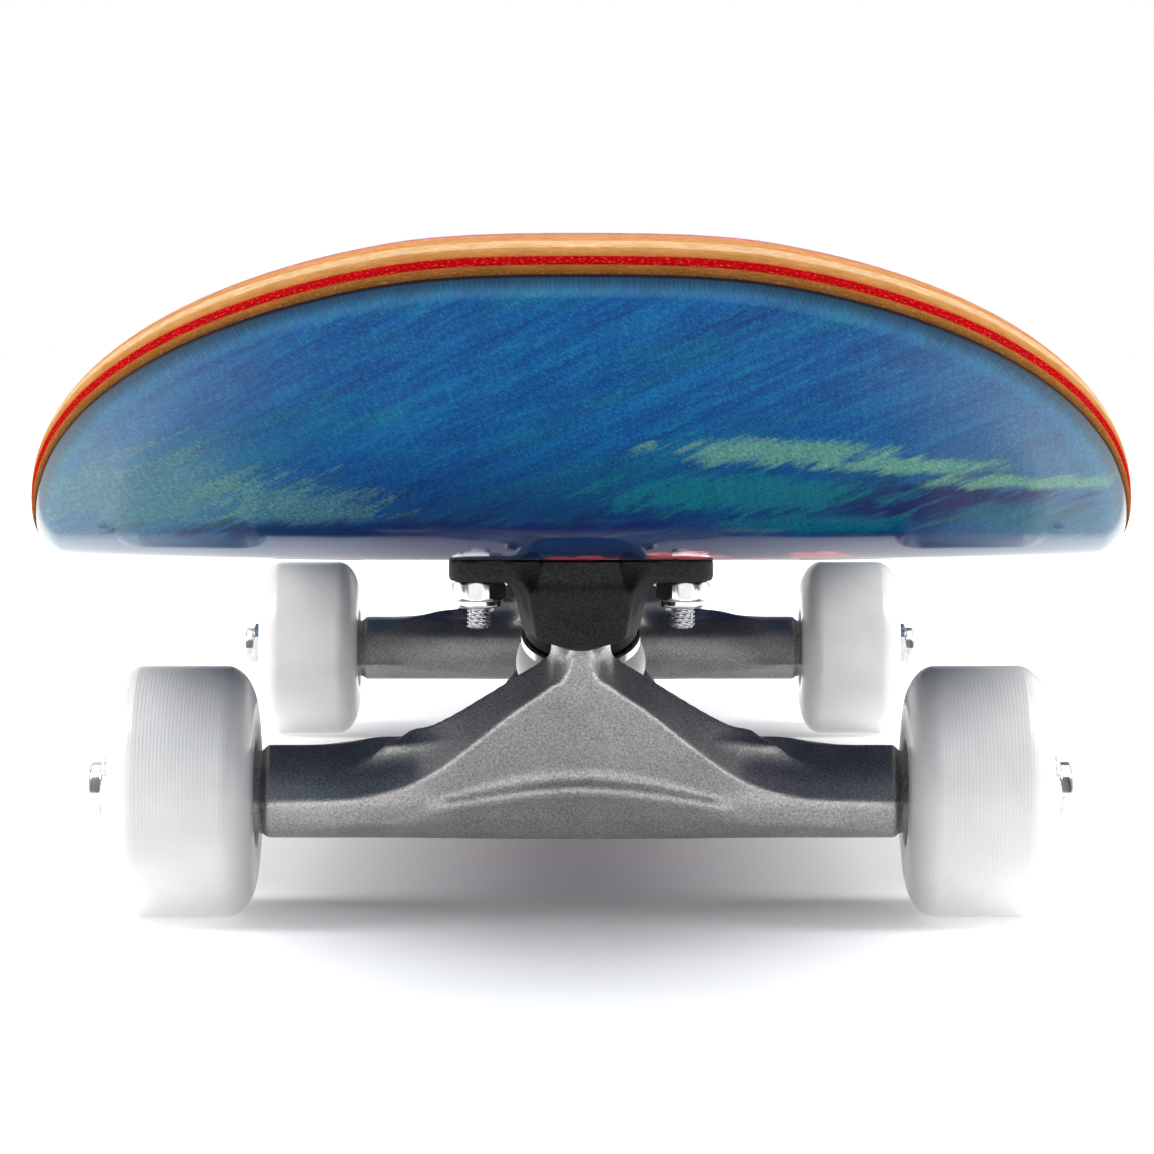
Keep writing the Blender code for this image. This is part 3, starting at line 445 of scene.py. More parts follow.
def baseplate_distance(x, s, z):
    """Return the distance to a baseplate: a plate, a kingpin boss and a pivot housing."""
    ax = np.abs(x)
    reach_x = np.maximum(ax - (PLATE_HALF[0] - PLATE_CORNER), 0.0)
    reach_s = np.maximum(np.abs(s - PLATE_MIDDLE) - (PLATE_HALF[1] - PLATE_CORNER), 0.0)
    outline = np.sqrt(reach_x ** 2 + reach_s ** 2) - PLATE_CORNER
    plate = meet(outline, PLATE_FACES[0] - z, 1.1)
    half = 8.2 + 0.19 * (z - 58.0) + 0.30 * (HOUSING_END - s)
    housing = meet((ax - half) * 0.94, s - HOUSING_END + 0.04 * (69.3 - z), 0.7)
    housing = meet(housing, HOUSING_FOOT + 0.024 * x ** 2 - z, 0.9)
    housing = meet(housing, 24.5 - s, 1.0)
    housing = meet(housing, (s - HOUSING_END) * 0.54 + (z - 69.3) * 0.84, 0.7)
    boss = rod(x, s, z, STEER_AT, STEER_DIRECTION, -4.0, 14.0, 8.4, 0.9)
    boss = meet(boss, s - 34.6, 0.6)
    housing = join(housing, boss, 1.5)
    gusset = meet(ax - 9.6 - 0.3 * (z - 66.0), np.abs(s - 17.0) - 12.0, 1.5)
    gusset = meet(gusset, 66.4 - z, 1.5)
    seat = rod(x, s, z, RING_AT, KINGPIN_DIRECTION, 18.0, 44.0, 11.8, 1.0)
    rib = meet(ax - 2.6, np.abs(s + 27.0) - 17.0, 1.0)
    rib = meet(rib, 67.4 - 0.11 * (s + 27.0) - z, 0.8)
    body = join(plate, housing, 3.2)
    body = join(body, join(gusset, seat, 3.0), 4.0)
    body = join(body, rib, 3.0)
    body = cut(body, rod(x, s, z, STEER_AT, STEER_DIRECTION, -14.0, 4.5, CUP_BORE, 0.4), 0.4)
    body = cut(body, rod(x, s, z, RING_AT, KINGPIN_DIRECTION, 0.0, 60.0, KINGPIN_BORE, 0.2), 0.3)
    body = cut(body, rod(x, s, z, RING_AT, KINGPIN_DIRECTION, 26.6, 60.0, KINGPIN_SEAT, 0.2), 0.3)
    for hole_s in HOLES_S:
        hole = np.sqrt((ax - HOLE_X) ** 2 + (s - hole_s) ** 2) - HOLE_RADIUS
        body = cut(body, hole, 0.3)
    body = meet(body, z - PLATE_FACES[1], 0.3)
    return meet(body, s - HOUSING_END, 0.4)


def axis_frame(origin, direction):
    """Return a matrix whose Z axis runs along a direction in the plane across X."""
    z_axis = Vector((0.0, *direction)).normalized()
    x_axis = Vector((1.0, 0.0, 0.0))
    turn = Matrix((x_axis, z_axis.cross(x_axis), z_axis)).transposed().to_4x4()
    return Matrix.Translation((0.0, origin[0] * MM, origin[1] * MM)) @ turn


def truck_frame(end):
    """Return a truck's frame, whose Y axis points outboard from below the axle."""
    low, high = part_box(end + "_axle")
    place = Matrix.Translation((0.0, (low.y + high.y) / 2, 0.0))
    return place @ Matrix.Rotation(math.pi, 4, "Z") if end == "front" else place


# Board shapes ----------------------------------------------------------------------------------


def deck_height(x, y):
    """Return the height of the board's middle surface, with y from the middle of the wheelbase."""
    past = np.maximum(np.abs(y) - KICK_START, 0.0)
    angle = np.where(y < 0.0, KICK_ANGLES[0], KICK_ANGLES[1])
    arc_end = KICK_RADIUS * np.sin(angle)
    curved = KICK_RADIUS - np.sqrt(KICK_RADIUS ** 2 - np.minimum(past, arc_end) ** 2)
    kick = curved + np.maximum(past - arc_end, 0.0) * np.tan(angle)
    rise = CONCAVE_RISE * smoothstep(CONCAVE_END - np.abs(y), 0.0, CONCAVE_RAMP)
    side = np.maximum(np.abs(x) - CONCAVE_FLAT, 0.0) / CONCAVE_SPAN
    return DECK_BOTTOM + THICKNESS / 2 + kick + rise * side ** 2


def board_point(x, y, offset):
    """Return points at an offset from the board's middle surface, along its normal."""
    step = 0.0002
    slope_x = (deck_height(x + step, y) - deck_height(x - step, y)) / (2 * step)
    slope_y = (deck_height(x, y + step) - deck_height(x, y - step)) / (2 * step)
    size = np.sqrt(slope_x ** 2 + slope_y ** 2 + 1)
    height = deck_height(x, y) + offset / size
    return np.stack([x - slope_x / size * offset, y - slope_y / size * offset + WHEELBASE_Y, height], -1)


def outline_rows(inset):
    """Return the rows' half widths and places, from the nose's tip to the tail's."""
    width = HALF_WIDTH - inset
    ends = []
    for tip in TIPS:
        reach = tip - inset - FULL_WIDTH_END
        turn = np.linspace(math.pi / 2, 0.0, TIP_ROWS + 1)
        bulge = np.sin(turn) ** (2 / OUTLINE_POWER) / TIP_FRACTION * reach
        flat = reach - meet(reach - bulge, 0.0, TIP_BLEND) + TIP_BLEND / 4
        ends.append((width * np.cos(turn), FULL_WIDTH_END + flat))
    middle = np.linspace(-FULL_WIDTH_END, FULL_WIDTH_END, MIDDLE_ROWS + 1)[1:-1]
    widths = np.concatenate([ends[0][0], np.full(len(middle), width), ends[1][0][::-1]])
    places = np.concatenate([-ends[0][1], middle, ends[1][1][::-1]])
    widths[0] = widths[-1] = 0.0
    return widths, places


def board_mesh(name, inset, low, high, edge):
    """Return a sheet of the board between two offsets, with its layer, edge and run attributes."""
    widths, places = outline_rows(inset)
    rows = len(places)
    across = np.linspace(-1.0, 1.0, COLUMNS + 1)
    inner_x = np.concatenate([[0.0], (widths[1:-1, None] * across).ravel(), [0.0]])
    inner_y = np.concatenate([[places[0]], np.repeat(places[1:-1], COLUMNS + 1), [places[-1]]])
    right = [1 + i * (COLUMNS + 1) + COLUMNS for i in range(rows - 2)]
    left = [1 + i * (COLUMNS + 1) for i in range(rows - 2)]
    last = len(inner_x) - 1
    loop = np.array([0, *right, last, *reversed(left)])
    rim = np.stack([inner_x[loop], inner_y[loop]], 1)
    tangent = np.roll(rim, -1, 0) - np.roll(rim, 1, 0)
    tangent /= np.linalg.norm(tangent, axis=1)[:, None]
    normal = np.stack([-tangent[:, 1], tangent[:, 0]], 1)
    if (normal * rim).sum() < 0.0:
        normal = -normal
    lengths = np.concatenate([[0.0], np.cumsum(np.linalg.norm(np.diff(rim, axis=0), axis=1))])
    total = lengths[-1] + np.linalg.norm(rim[0] - rim[-1])
    run = np.minimum(lengths, total - lengths)
    way = np.where(lengths < total / 2, 1.0, -1.0)
    tree = kdtree.KDTree(len(rim))
    for i, point in enumerate(rim):
        tree.insert((*point, 0.0), i)
    tree.balance()
    inner_edge = np.zeros(len(inner_x))
    inner_run = np.zeros(len(inner_x))
    for i, point in enumerate(zip(inner_x, inner_y)):
        _, k, distance = tree.find((*point, 0.0))
        inner_edge[i] = edge + distance
        inner_run[i] = run[k] + way[k] * float(np.dot(np.array(point) - rim[k], tangent[k]))
    turns = np.linspace(0.0, math.pi / 2, RIM_RINGS + 1)[1:] if edge else []
    xs, ys, offsets, edges, runs = [], [], [], [], []
    count = len(loop)
    middle = (high + low) / 2
    half = (high - low) / 2
    starts = []
    for sign in (1, -1):
        starts.append((sum(map(len, xs)), []))
        xs.append(inner_x)
        ys.append(inner_y)
        offsets.append(np.full(len(inner_x), middle + sign * half))
        edges.append(inner_edge)
        runs.append(inner_run)
        for turn in turns:
            starts[-1][1].append(sum(map(len, xs)))
            grown = rim + normal * edge * math.sin(turn)
            xs.append(grown[:, 0])
            ys.append(grown[:, 1])
            offsets.append(np.full(count, middle + sign * (half - edge + edge * math.cos(turn))))
            edges.append(np.full(count, edge * (1 - math.sin(turn))))
            runs.append(run)
    faces = []
    for (start, rings), sign in zip(starts, (1, -1)):
        order = (lambda face: face) if sign > 0 else (lambda face: face[::-1])
        for i in range(rows - 3):
            for j in range(COLUMNS):
                a = start + 1 + i * (COLUMNS + 1) + j
                b = a + COLUMNS + 1
                faces.append(order((a, a + 1, b + 1, b)))
        for j in range(COLUMNS):
            faces.append(order((start, start + 2 + j, start + 1 + j)))
            a = start + 1 + (rows - 3) * (COLUMNS + 1) + j
            faces.append(order((a, a + 1, start + last)))
        loops = [start + loop] + [ring + np.arange(count) for ring in rings]
        for one, two in zip(loops, loops[1:]):
            for i in range(count):
                j = (i + 1) % count
                faces.append(order((int(one[i]), int(one[j]), int(two[j]), int(two[i])))[::-1])
    outer = []
    for start, rings in starts:
        outer.append(start + loop if not rings else rings[-1] + np.arange(count))
    for i in range(count):
        j = (i + 1) % count
        faces.append((int(outer[0][i]), int(outer[1][i]), int(outer[1][j]), int(outer[0][j])))
    offset = np.concatenate(offsets)
    points = board_point(np.concatenate(xs), np.concatenate(ys), offset)
    mesh = bpy.data.meshes.new(name)
    mesh.from_pydata(points.tolist(), [], faces)
    mesh.update()
    give_attribute(mesh, "layer", offset + THICKNESS / 2)
    give_attribute(mesh, "edge", np.concatenate(edges))
    give_attribute(mesh, "run", np.concatenate(runs))
    mesh.shade_smooth()
    mesh.set_sharp_from_angle(angle=math.radians(50))
    return mesh


def cut_holes(piece, cutter_mesh):
    """Cut a mesh of several separate cutters out of a piece, for good."""
    cutter = link("cutter", cutter_mesh)
    modifier = piece.modifiers.new("holes", "BOOLEAN")
    modifier.operation = "DIFFERENCE"
    modifier.solver = "EXACT"
    modifier.object = cutter
    bpy.context.view_layer.update()
    depsgraph = bpy.context.evaluated_depsgraph_get()
    mesh = bpy.data.meshes.new_from_object(piece.evaluated_get(depsgraph))
    piece.modifiers.clear()
    piece.data = mesh
    bpy.data.objects.remove(cutter)


def bolt_places():
    """Return each deck bolt's name and place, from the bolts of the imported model."""
    places = []
    for end in ENDS:
        for row in ("outer", "inner"):
            for side, _ in SIDES:
                low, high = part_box(f"{end}_{row}_{side}_deck_bolt")
                places.append((f"{end}_{row}_{side}", (low.x + high.x) / 2, (low.y + high.y) / 2))
    return places


# Materials -------------------------------------------------------------------------------------


def srgb(*values):
    """Return a linear colour from 0 to 255 display values."""
    linear = []
    for value in values:
        share = value / 255
        linear.append(share / 12.92 if share <= 0.04045 else ((share + 0.055) / 1.055) ** 2.4)
    return (*linear, 1.0)


def grey(value):
    """Return a grey of a linear value."""
    return (value, value, value, 1.0)


class Nodes:
    """A node tree, with short ways to add to it."""

    def __init__(self, tree):
        self.tree = tree

    def wire(self, socket, value):
        if isinstance(value, bpy.types.NodeSocket):
            self.tree.links.new(value, socket)
        else:
            socket.default_value = value

    def add(self, kind, settings=None, inputs=None):
        node = self.tree.nodes.new(kind)
        for key, value in (settings or {}).items():
            setattr(node, key, value)
        for key, value in (inputs or {}).items():
            self.wire(node.inputs[key], value)
        return node

    def math(self, operation, a, b=0.0, c=0.0, clamp=False):
        settings = {"operation": operation, "use_clamp": clamp}
        return self.add("ShaderNodeMath", settings, {0: a, 1: b, 2: c}).outputs[0]

    def plus(self, a, b):
        return self.math("ADD", a, b)

    def minus(self, a, b):
        return self.math("SUBTRACT", a, b)

    def times(self, a, b, clamp=False):
        return self.math("MULTIPLY", a, b, clamp=clamp)

    def over(self, a, b):
        return self.math("DIVIDE", a, b)

    def absolute(self, a):
        return self.math("ABSOLUTE", a)

    def scaled(self, a, b, c):
        """Return a times b, plus c."""
        return self.math("MULTIPLY_ADD", a, b, c)

    def swing(self, noise, amount, middle=0.0):
        """Return a value that a noise swings about a middle."""
        return self.scaled(self.minus(noise, 0.5), amount, middle)

    def length(self, x, y):
        return self.math("SQRT", self.plus(self.times(x, x), self.times(y, y)))

    def step(self, value, low, high, start=0.0, end=1.0):
        """Return a smooth ramp of a value, from start at low to end at high."""
        settings = {"interpolation_type": "SMOOTHSTEP"}
        inputs = {"Value": value, "From Min": low, "From Max": high, "To Min": start, "To Max": end}
        return self.add("ShaderNodeMapRange", settings, inputs).outputs["Result"]

    def part(self, vector):
        """Return a vector's X, Y and Z."""
        return self.add("ShaderNodeSeparateXYZ", None, {0: vector}).outputs

    def vector(self, x, y, z=0.0):
        return self.add("ShaderNodeCombineXYZ", None, {0: x, 1: y, 2: z}).outputs[0]

    def mapped(self, vector, scale, turn=0.0, location=(0.0, 0.0, 0.0)):
        """Return a vector turned about Z, then scaled along its new axes and moved."""
        if turn:
            inputs = {"Vector": vector, "Rotation": (0.0, 0.0, turn)}
            vector = self.add("ShaderNodeMapping", None, inputs).outputs[0]
        inputs = {"Vector": vector, "Location": location, "Scale": scale}
        return self.add("ShaderNodeMapping", None, inputs).outputs[0]

    def noise(self, vector, scale, detail=3.0, roughness=0.55):
        inputs = {"Vector": vector, "Scale": scale, "Detail": detail, "Roughness": roughness}
        return self.add("ShaderNodeTexNoise", None, inputs).outputs[0]

    def streaks(self, vector, scale, detail, roughness, turn=0.0, location=(0.0, 0.0, 0.0)):
        """Return a noise stretched along a turned vector's axes."""
        return self.noise(self.mapped(vector, (*scale, 1.0), turn, location), 1.0, detail, roughness)

    def ramp(self, value, stops):
        node = self.add("ShaderNodeValToRGB", None, {0: value})
        elements = node.color_ramp.elements
        while len(elements) < len(stops):
            elements.new(0.5)
        for element, (position, colour) in zip(elements, stops):
            element.position = position
            element.color = colour
        return node.outputs[0]

    def mix(self, factor, a, b, blend="MIX"):
        settings = {"data_type": "RGBA", "blend_type": blend}
        return self.add("ShaderNodeMix", settings, {0: factor, 6: a, 7: b}).outputs[2]

    def stained(self, factor, colour, value, stops):
        """Return a colour darkened by a share of a ramp."""
        return self.mix(factor, colour, self.ramp(value, stops), "MULTIPLY")


class Finish(Nodes):
    """A procedural material."""

    def __init__(self, name, roughness, metallic=0.0, **sockets):
        self.material = bpy.data.materials.new(name)
        self.material.use_nodes = True
        super().__init__(self.material.node_tree)
        self.shader = self.tree.nodes["Principled BSDF"]
        self.set("Roughness", roughness)
        self.set("Metallic", metallic)
        for socket, value in sockets.items():
            self.set(socket.replace("_", " "), value)
        self.place = self.add("ShaderNodeTexCoord").outputs["Object"]

    def set(self, socket, value):
        self.wire(self.shader.inputs[socket], value)

    def bump(self, height, strength, distance):
        inputs = {"Height": height, "Strength": strength, "Distance": distance}
        self.set("Normal", self.add("ShaderNodeBump", None, inputs).outputs[0])

    def attribute(self, name):
        return self.add("ShaderNodeAttribute", {"attribute_name": name}).outputs["Fac"]


WHITE = grey(1.0)
BLUE_DEEP = srgb(0, 46, 100)
BLUE = srgb(0, 70, 126)
BLUE_LIGHT = srgb(6, 92, 142)
TEAL = srgb(8, 100, 112)
SAGE = srgb(96, 146, 120)
NAVY = srgb(4, 22, 78)
NIGHT = srgb(52, 60, 80)
INK = srgb(8, 14, 26)
CORAL = srgb(214, 74, 86)
# Ply colours up the edge, by share of the thickness. Below the red ply the wood darkens from light brown
# down to dark brown: painted shade of the rim's rounding towards the bottom.
PLIES_AND_PAINTED_SHADE = (
    (0.00, srgb(90, 60, 32)), (0.20, srgb(92, 62, 32)), (0.32, srgb(158, 104, 50)),
    (0.34, srgb(172, 6, 16)), (0.46, srgb(186, 6, 20)), (0.48, srgb(182, 122, 66)),
    (0.60, srgb(204, 152, 94)), (0.62, srgb(222, 192, 150)), (0.72, srgb(222, 188, 142)),
    (0.74, srgb(200, 146, 94)), (0.86, srgb(192, 136, 94)), (0.89, srgb(172, 118, 124)),
)


# Patches of colour on the nose: centre and size in metres, colour, and weight.
PATCHES = (
    ((0.064, -0.308), (0.034, 0.014), NAVY, 0.95),
    ((-0.052, -0.303), (0.020, 0.018), SAGE, 0.30),
    ((-0.080, -0.312), (0.028, 0.026), SAGE, 0.32),
    ((0.036, -0.333), (0.022, 0.007), SAGE, 0.70),
    ((0.058, -0.326), (0.018, 0.005), SAGE, 0.80),
    ((0.086, -0.318), (0.026, 0.004), SAGE, 0.80),
    ((0.030, -0.312), (0.030, 0.011), TEAL, 0.80),
    ((0.044, -0.296), (0.020, 0.007), TEAL, 0.60),
    ((0.084, -0.300), (0.018, 0.010), TEAL, 0.60),
    ((-0.035, -0.292), (0.050, 0.008), NAVY, 0.80),
)
# Blossoms: X, Y and radius in metres.
BLOSSOMS = (
    (0.0200, -0.2660, 0.0090), (0.0460, -0.2675, 0.0070), (0.0000, -0.2590, 0.0085),
    (0.0340, -0.2570, 0.0065), (-0.0560, -0.1250, 0.0120), (0.0480, -0.1080, 0.0130),
    (-0.0200, -0.0950, 0.0120), (0.0300, -0.0700, 0.0140), (-0.0560, -0.0440, 0.0120),
    (0.0060, -0.0260, 0.0130), (0.0580, 0.0120, 0.0120), (-0.0340, 0.0340, 0.0140),
    (0.0220, 0.0680, 0.0120), (-0.0560, 0.0980, 0.0130), (0.0500, 0.1180, 0.0120),
    (-0.0160, 0.1060, 0.0100), (-0.0380, 0.2900, 0.0120), (0.0180, 0.3060, 0.0130),
    (0.0560, 0.2800, 0.0110), (-0.0100, 0.3500, 0.0120),
)
PLY_WAVE = 0.00022
VENEER = 0.00205
MARK_PITCH = 0.00080


def soft_patch(f, x, y, centre, size, wander):
    """Return a soft patch with a wandering edge, 1 at its middle."""
    dx = f.over(f.minus(x, centre[0]), size[0])
    dy = f.over(f.minus(y, centre[1]), size[1])
    return f.step(f.plus(f.length(dx, dy), wander), 1.15, 0.45)


def blossom(f, x, y, centre, radius):
    """Return masks of a plain five-petal blossom and of its eye."""
    dx = f.minus(x, centre[0])
    dy = f.minus(y, centre[1])
    turn = f.math("ARCTAN2", dy, dx)
    petals = f.absolute(f.math("COSINE", f.times(turn, 2.5)))
    edge = f.scaled(f.math("POWER", petals, 0.55), 0.62, 0.38)
    share = f.over(f.length(dx, dy), radius)
    return f.step(f.minus(edge, share), 0.0, 0.06), f.step(share, 0.26, 0.18)


def ply_colour(f, run, layer, level):
    """Return the plies' colour round the edge, and their fibres."""
    fibre = f.streaks(f.vector(run, layer), (420.0, 6500.0), 5.0, 0.75)
    fleck = f.streaks(f.vector(run, layer), (1500.0, 3000.0), 2.0, 0.6)
    soft = f.streaks(f.vector(run, layer), (160.0, 1100.0), 3.0, 0.6)
    ply = f.ramp(f.over(level, THICKNESS), PLIES_AND_PAINTED_SHADE)
    ply = f.stained(0.55, ply, fibre, [(0.34, srgb(158, 132, 108)), (0.62, srgb(255, 251, 246))])
    ply = f.mix(f.times(f.step(fleck, 0.52, 0.78), 0.22), ply, srgb(240, 176, 140))
    return f.stained(0.35, ply, soft, [(0.34, srgb(176, 146, 118)), (0.66, WHITE)]), fibre


def print_and_painted_haze_colour(f, x, y, hair, side):
    """Return the blue print's brush strokes and patches, and a painted reflection haze that lightens it
    towards the sides.
    """
    lean = f.swing(f.noise(f.place, 10.0, 2.0, 0.5), 0.014)
    warped = f.vector(f.plus(x, lean), f.minus(y, lean))
    strokes = f.streaks(warped, (11.0, 150.0), 8.0, 0.72, 0.86)
    broad = f.streaks(warped, (12.0, 44.0), 4.0, 0.6, 0.70, (0.3, 0.1, 0.0))
    grain = f.streaks(f.place, (900.0, 50.0), 4.0, 0.7, 0.12)
    mottle = f.streaks(warped, (70.0, 300.0), 5.0, 0.7, 0.95)
    blue = f.ramp(strokes, [(0.34, BLUE_DEEP), (0.50, BLUE), (0.68, BLUE_LIGHT)])
    blue = f.mix(f.times(f.step(broad, 0.48, 0.70), 0.55), blue, TEAL)
    blue = f.mix(f.times(f.step(mottle, 0.50, 0.72), 0.45), blue, srgb(20, 108, 132))
    blue = f.mix(f.times(f.step(mottle, 0.50, 0.32), 0.45), blue, BLUE_DEEP)
    blue = f.mix(f.times(f.step(hair, 0.50, 0.74), 0.42), blue, srgb(36, 122, 132))
    # Painted reflection: a pale haze lightens the blue towards the sides.
    blue = f.mix(f.times(side, f.scaled(hair, 1.3, -0.20), clamp=True), blue, srgb(52, 110, 138))
    # Darker towards the foot of the nose, and duller between the kicks.
    middle = f.step(f.absolute(f.minus(x, 0.01)), 0.085, 0.045)
    low = f.times(f.times(f.step(y, -0.345, -0.300), 0.75), middle)
    blue = f.mix(f.times(low, f.scaled(strokes, -1.0, 1.35), clamp=True), blue, NAVY)
    night = f.step(f.absolute(f.plus(y, 0.012)), 0.262, 0.232)
    blue = f.mix(f.times(night, f.scaled(strokes, -0.5, 1.15), clamp=True), blue, NIGHT)
    wander = f.swing(mottle, 2.6, f.swing(strokes, 2.4))
    for centre, size, colour, weight in PATCHES:
        mask = soft_patch(f, x, y, centre, size, wander)
        blue = f.mix(f.times(mask, f.plus(hair, weight - 0.5), clamp=True), blue, colour)
    blue = f.stained(0.60, blue, hair, [(0.34, srgb(112, 136, 160)), (0.62, srgb(255, 255, 252))])
    return f.stained(0.40, blue, grain, [(0.3, srgb(150, 166, 186)), (0.7, WHITE)])


def edge_marks(f, run, edge, side):
    """Return short marks where the veneer bends over the edge."""
    jitter = f.noise(f.vector(run, 0.0), 240.0, 3.0, 0.6)
    comb = f.math("SINE", f.scaled(run, 2 * math.pi / MARK_PITCH, f.times(jitter, 22.0)))
    reach = f.scaled(f.noise(f.vector(run, 2.0), 900.0, 2.0, 0.6), 0.0030, 0.0004)
    band = f.step(f.minus(edge, reach), 0.0016, 0.0)
    return f.times(f.times(f.step(comb, 0.1, 1.0), band), f.scaled(side, 0.35, 0.22))


def deck_finish():
    """Seven plies round the edge, and a stained and lacquered blue veneer underneath, with painted shade on
    the rim and a painted reflection haze at the sides.
    """
    f = Finish("deck_finish", 0.3, Specular_IOR_Level=0.0, Coat_Roughness=0.08)
    x, y, _ = f.part(f.place)
    layer = f.attribute("layer")
    edge = f.attribute("edge")
    run = f.attribute("run")
    level = f.swing(f.streaks(f.vector(run, layer), (60.0, 60.0), 3.0, 0.55), PLY_WAVE, layer)
    hair = f.streaks(f.place, (2600.0, 620.0), 4.0, 0.75, 0.40)
    side = f.step(f.absolute(x), 0.040, 0.100)
    ply, fibre = ply_colour(f, run, layer, level)
    marks = edge_marks(f, run, edge, side)
    blue = print_and_painted_haze_colour(f, x, y, hair, side)
    blue = f.mix(f.times(f.step(edge, 0.007, 0.002), 0.20), blue, srgb(80, 136, 152))
    # Painted shade: the blue darkens to near black over the rim's rounding, towards the edge.
    blue = f.mix(f.times(f.step(edge, 0.0036, 0.0006), 0.80), blue, srgb(6, 26, 44))
    blue = f.mix(marks, blue, INK)
    for i, (flower_x, flower_y, radius) in enumerate(BLOSSOMS):
        flower, eye = blossom(f, x, y, (flower_x, flower_y), radius)
        blue = f.mix(f.times(flower, 0.88), blue, CORAL if i % 3 else srgb(226, 96, 104))
        blue = f.mix(f.times(eye, 0.9), blue, srgb(150, 24, 48))
    wrap = f.step(level, VENEER + 0.0001, VENEER)
    line = f.step(f.absolute(f.minus(level, VENEER)), 0.00032, 0.00010)
    f.set("Base Color", f.mix(f.times(line, 0.92), f.mix(wrap, ply, blue), INK))
    f.set("Roughness", f.scaled(hair, 0.06, f.mix(wrap, grey(0.50), grey(0.26))))
    facing = f.add("ShaderNodeLayerWeight", None, {"Blend": 0.5}).outputs["Facing"]
    gloss = f.math("MAXIMUM", f.step(facing, 0.68, 0.80), f.scaled(side, 0.34, 0.16))
    f.set("Coat Weight", f.times(wrap, gloss))
    relief = f.plus(f.times(hair, 0.35), f.plus(f.times(marks, -1.6), fibre))
    f.bump(relief, 0.12, 0.00010)
    return f.material


def grip_finish():
    """Black grit on a black sheet."""
    f = Finish("grip_finish", 0.9, Specular_IOR_Level=0.2)
    grit = f.add("ShaderNodeTexVoronoi", None, {"Vector": f.place, "Scale": 2600.0}).outputs
    fine = f.noise(f.place, 5200.0, 2.0, 0.6)
    wear = f.noise(f.place, 14.0, 4.0, 0.6)
    base = f.ramp(fine, [(0.3, srgb(6, 6, 7)), (0.68, srgb(30, 30, 31))])
    sparkle = f.step(f.part(grit["Color"])[0], 0.93, 0.97)
    base = f.mix(f.times(sparkle, 0.5), base, srgb(120, 120, 124))
    f.set("Base Color", f.mix(f.times(wear, 0.25), base, srgb(40, 40, 41)))
    f.bump(f.plus(grit["Distance"], fine), 0.8, 0.0004)
    return f.material


def cast_finish(name, dark, light, roughness, metallic, specular=0.5):
    """Cast metal with a fine sandy skin."""
    f = Finish(name, roughness, metallic, Specular_IOR_Level=specular)
    sand = f.noise(f.place, 2300.0, 2.0, 0.7)
    cloud = f.noise(f.place, 60.0, 4.0, 0.6)
    tone = f.swing(cloud, 0.35, sand)
    f.set("Base Color", f.ramp(tone, [(0.30, dark), (0.70, light)]))
    f.set("Roughness", f.swing(cloud, 0.16, roughness))
    f.bump(sand, 0.55, 0.00016)
    return f.material


def plated_finish(name, colour, roughness, scratches=0.10):
    """Bright plating with faint cloudiness and fine scratches."""
    f = Finish(name, roughness, 1.0)
    cloud = f.noise(f.place, 350.0, 4.0, 0.6)
    scratch = f.noise(f.mapped(f.place, (300.0, 300.0, 9000.0)), 1.0, 3.0, 0.6)
    darker = (*(0.72 * c for c in colour[:3]), 1.0)
    f.set("Base Color", f.ramp(cloud, [(0.25, darker), (0.6, colour)]))
    f.set("Roughness", f.scaled(cloud, 0.16, roughness))
    f.bump(f.plus(scratch, cloud), scratches, 0.00004)
    return f.material


def urethane_finish():
    """White cast urethane, turned on a lathe: faint rings run round it."""
    f = Finish("urethane_finish", 0.30, Specular_IOR_Level=0.45)
    x, y, z = f.part(f.place)
    radius = f.length(x, y)
    tooth = f.math("SINE", f.times(z, 2 * math.pi / 0.00074))
    on_tread = f.step(radius, 0.0235, 0.0252)
    rings = f.noise(f.vector(radius, z), 1800.0, 2.0, 0.6)
    cloud = f.noise(f.place, 70.0, 3.0, 0.5)
    f.set("Base Color", f.ramp(cloud, [(0.25, srgb(222, 222, 221)), (0.75, srgb(233, 233, 232))]))
    f.set("Roughness", f.scaled(rings, 0.14, 0.14))
    height = f.scaled(tooth, f.times(on_tread, 0.5), rings)
    f.bump(height, 0.22, 0.00008)
    return f.material


def rubber_finish(name, dark, light, roughness):
    """A moulded plastic or rubber with a faint texture."""
    f = Finish(name, roughness)
    skin = f.noise(f.place, 900.0, 3.0, 0.6)
    cloud = f.noise(f.place, 90.0, 3.0, 0.5)
    tone = f.scaled(skin, 0.4, f.times(cloud, 0.6))
    f.set("Base Color", f.ramp(tone, [(0.3, dark), (0.7, light)]))
    f.set("Roughness", f.scaled(cloud, 0.12, roughness - 0.06))
    f.bump(skin, 0.2, 0.00008)
    return f.material


DECK_FINISH = deck_finish()
GRIP_FINISH = grip_finish()
HANGER_FINISH = cast_finish("hanger_finish", srgb(144, 143, 141), srgb(212, 210, 206), 0.38, 0.95)
BASE_FINISH = cast_finish("baseplate_finish", srgb(2, 2, 2), srgb(48, 48, 48), 0.60, 0.0, 0.2)
CHROME = plated_finish("chrome_finish", srgb(214, 214, 216), 0.08)
ZINC = plated_finish("zinc_finish", srgb(196, 197, 202), 0.22, 0.15)
SHIELD = plated_finish("bearing_shield_finish", srgb(150, 152, 158), 0.30, 0.15)
URETHANE = urethane_finish()
BUSHING = rubber_finish("bushing_finish", srgb(222, 221, 216), srgb(240, 240, 237), 0.34)
BLACK_RUBBER = rubber_finish("pivot_cup_finish", srgb(14, 14, 14), srgb(36, 36, 37), 0.5)
NYLON = rubber_finish("nylon_finish", srgb(190, 196, 204), srgb(224, 228, 232), 0.45)


# Pieces ----------------------------------------------------------------------------------------


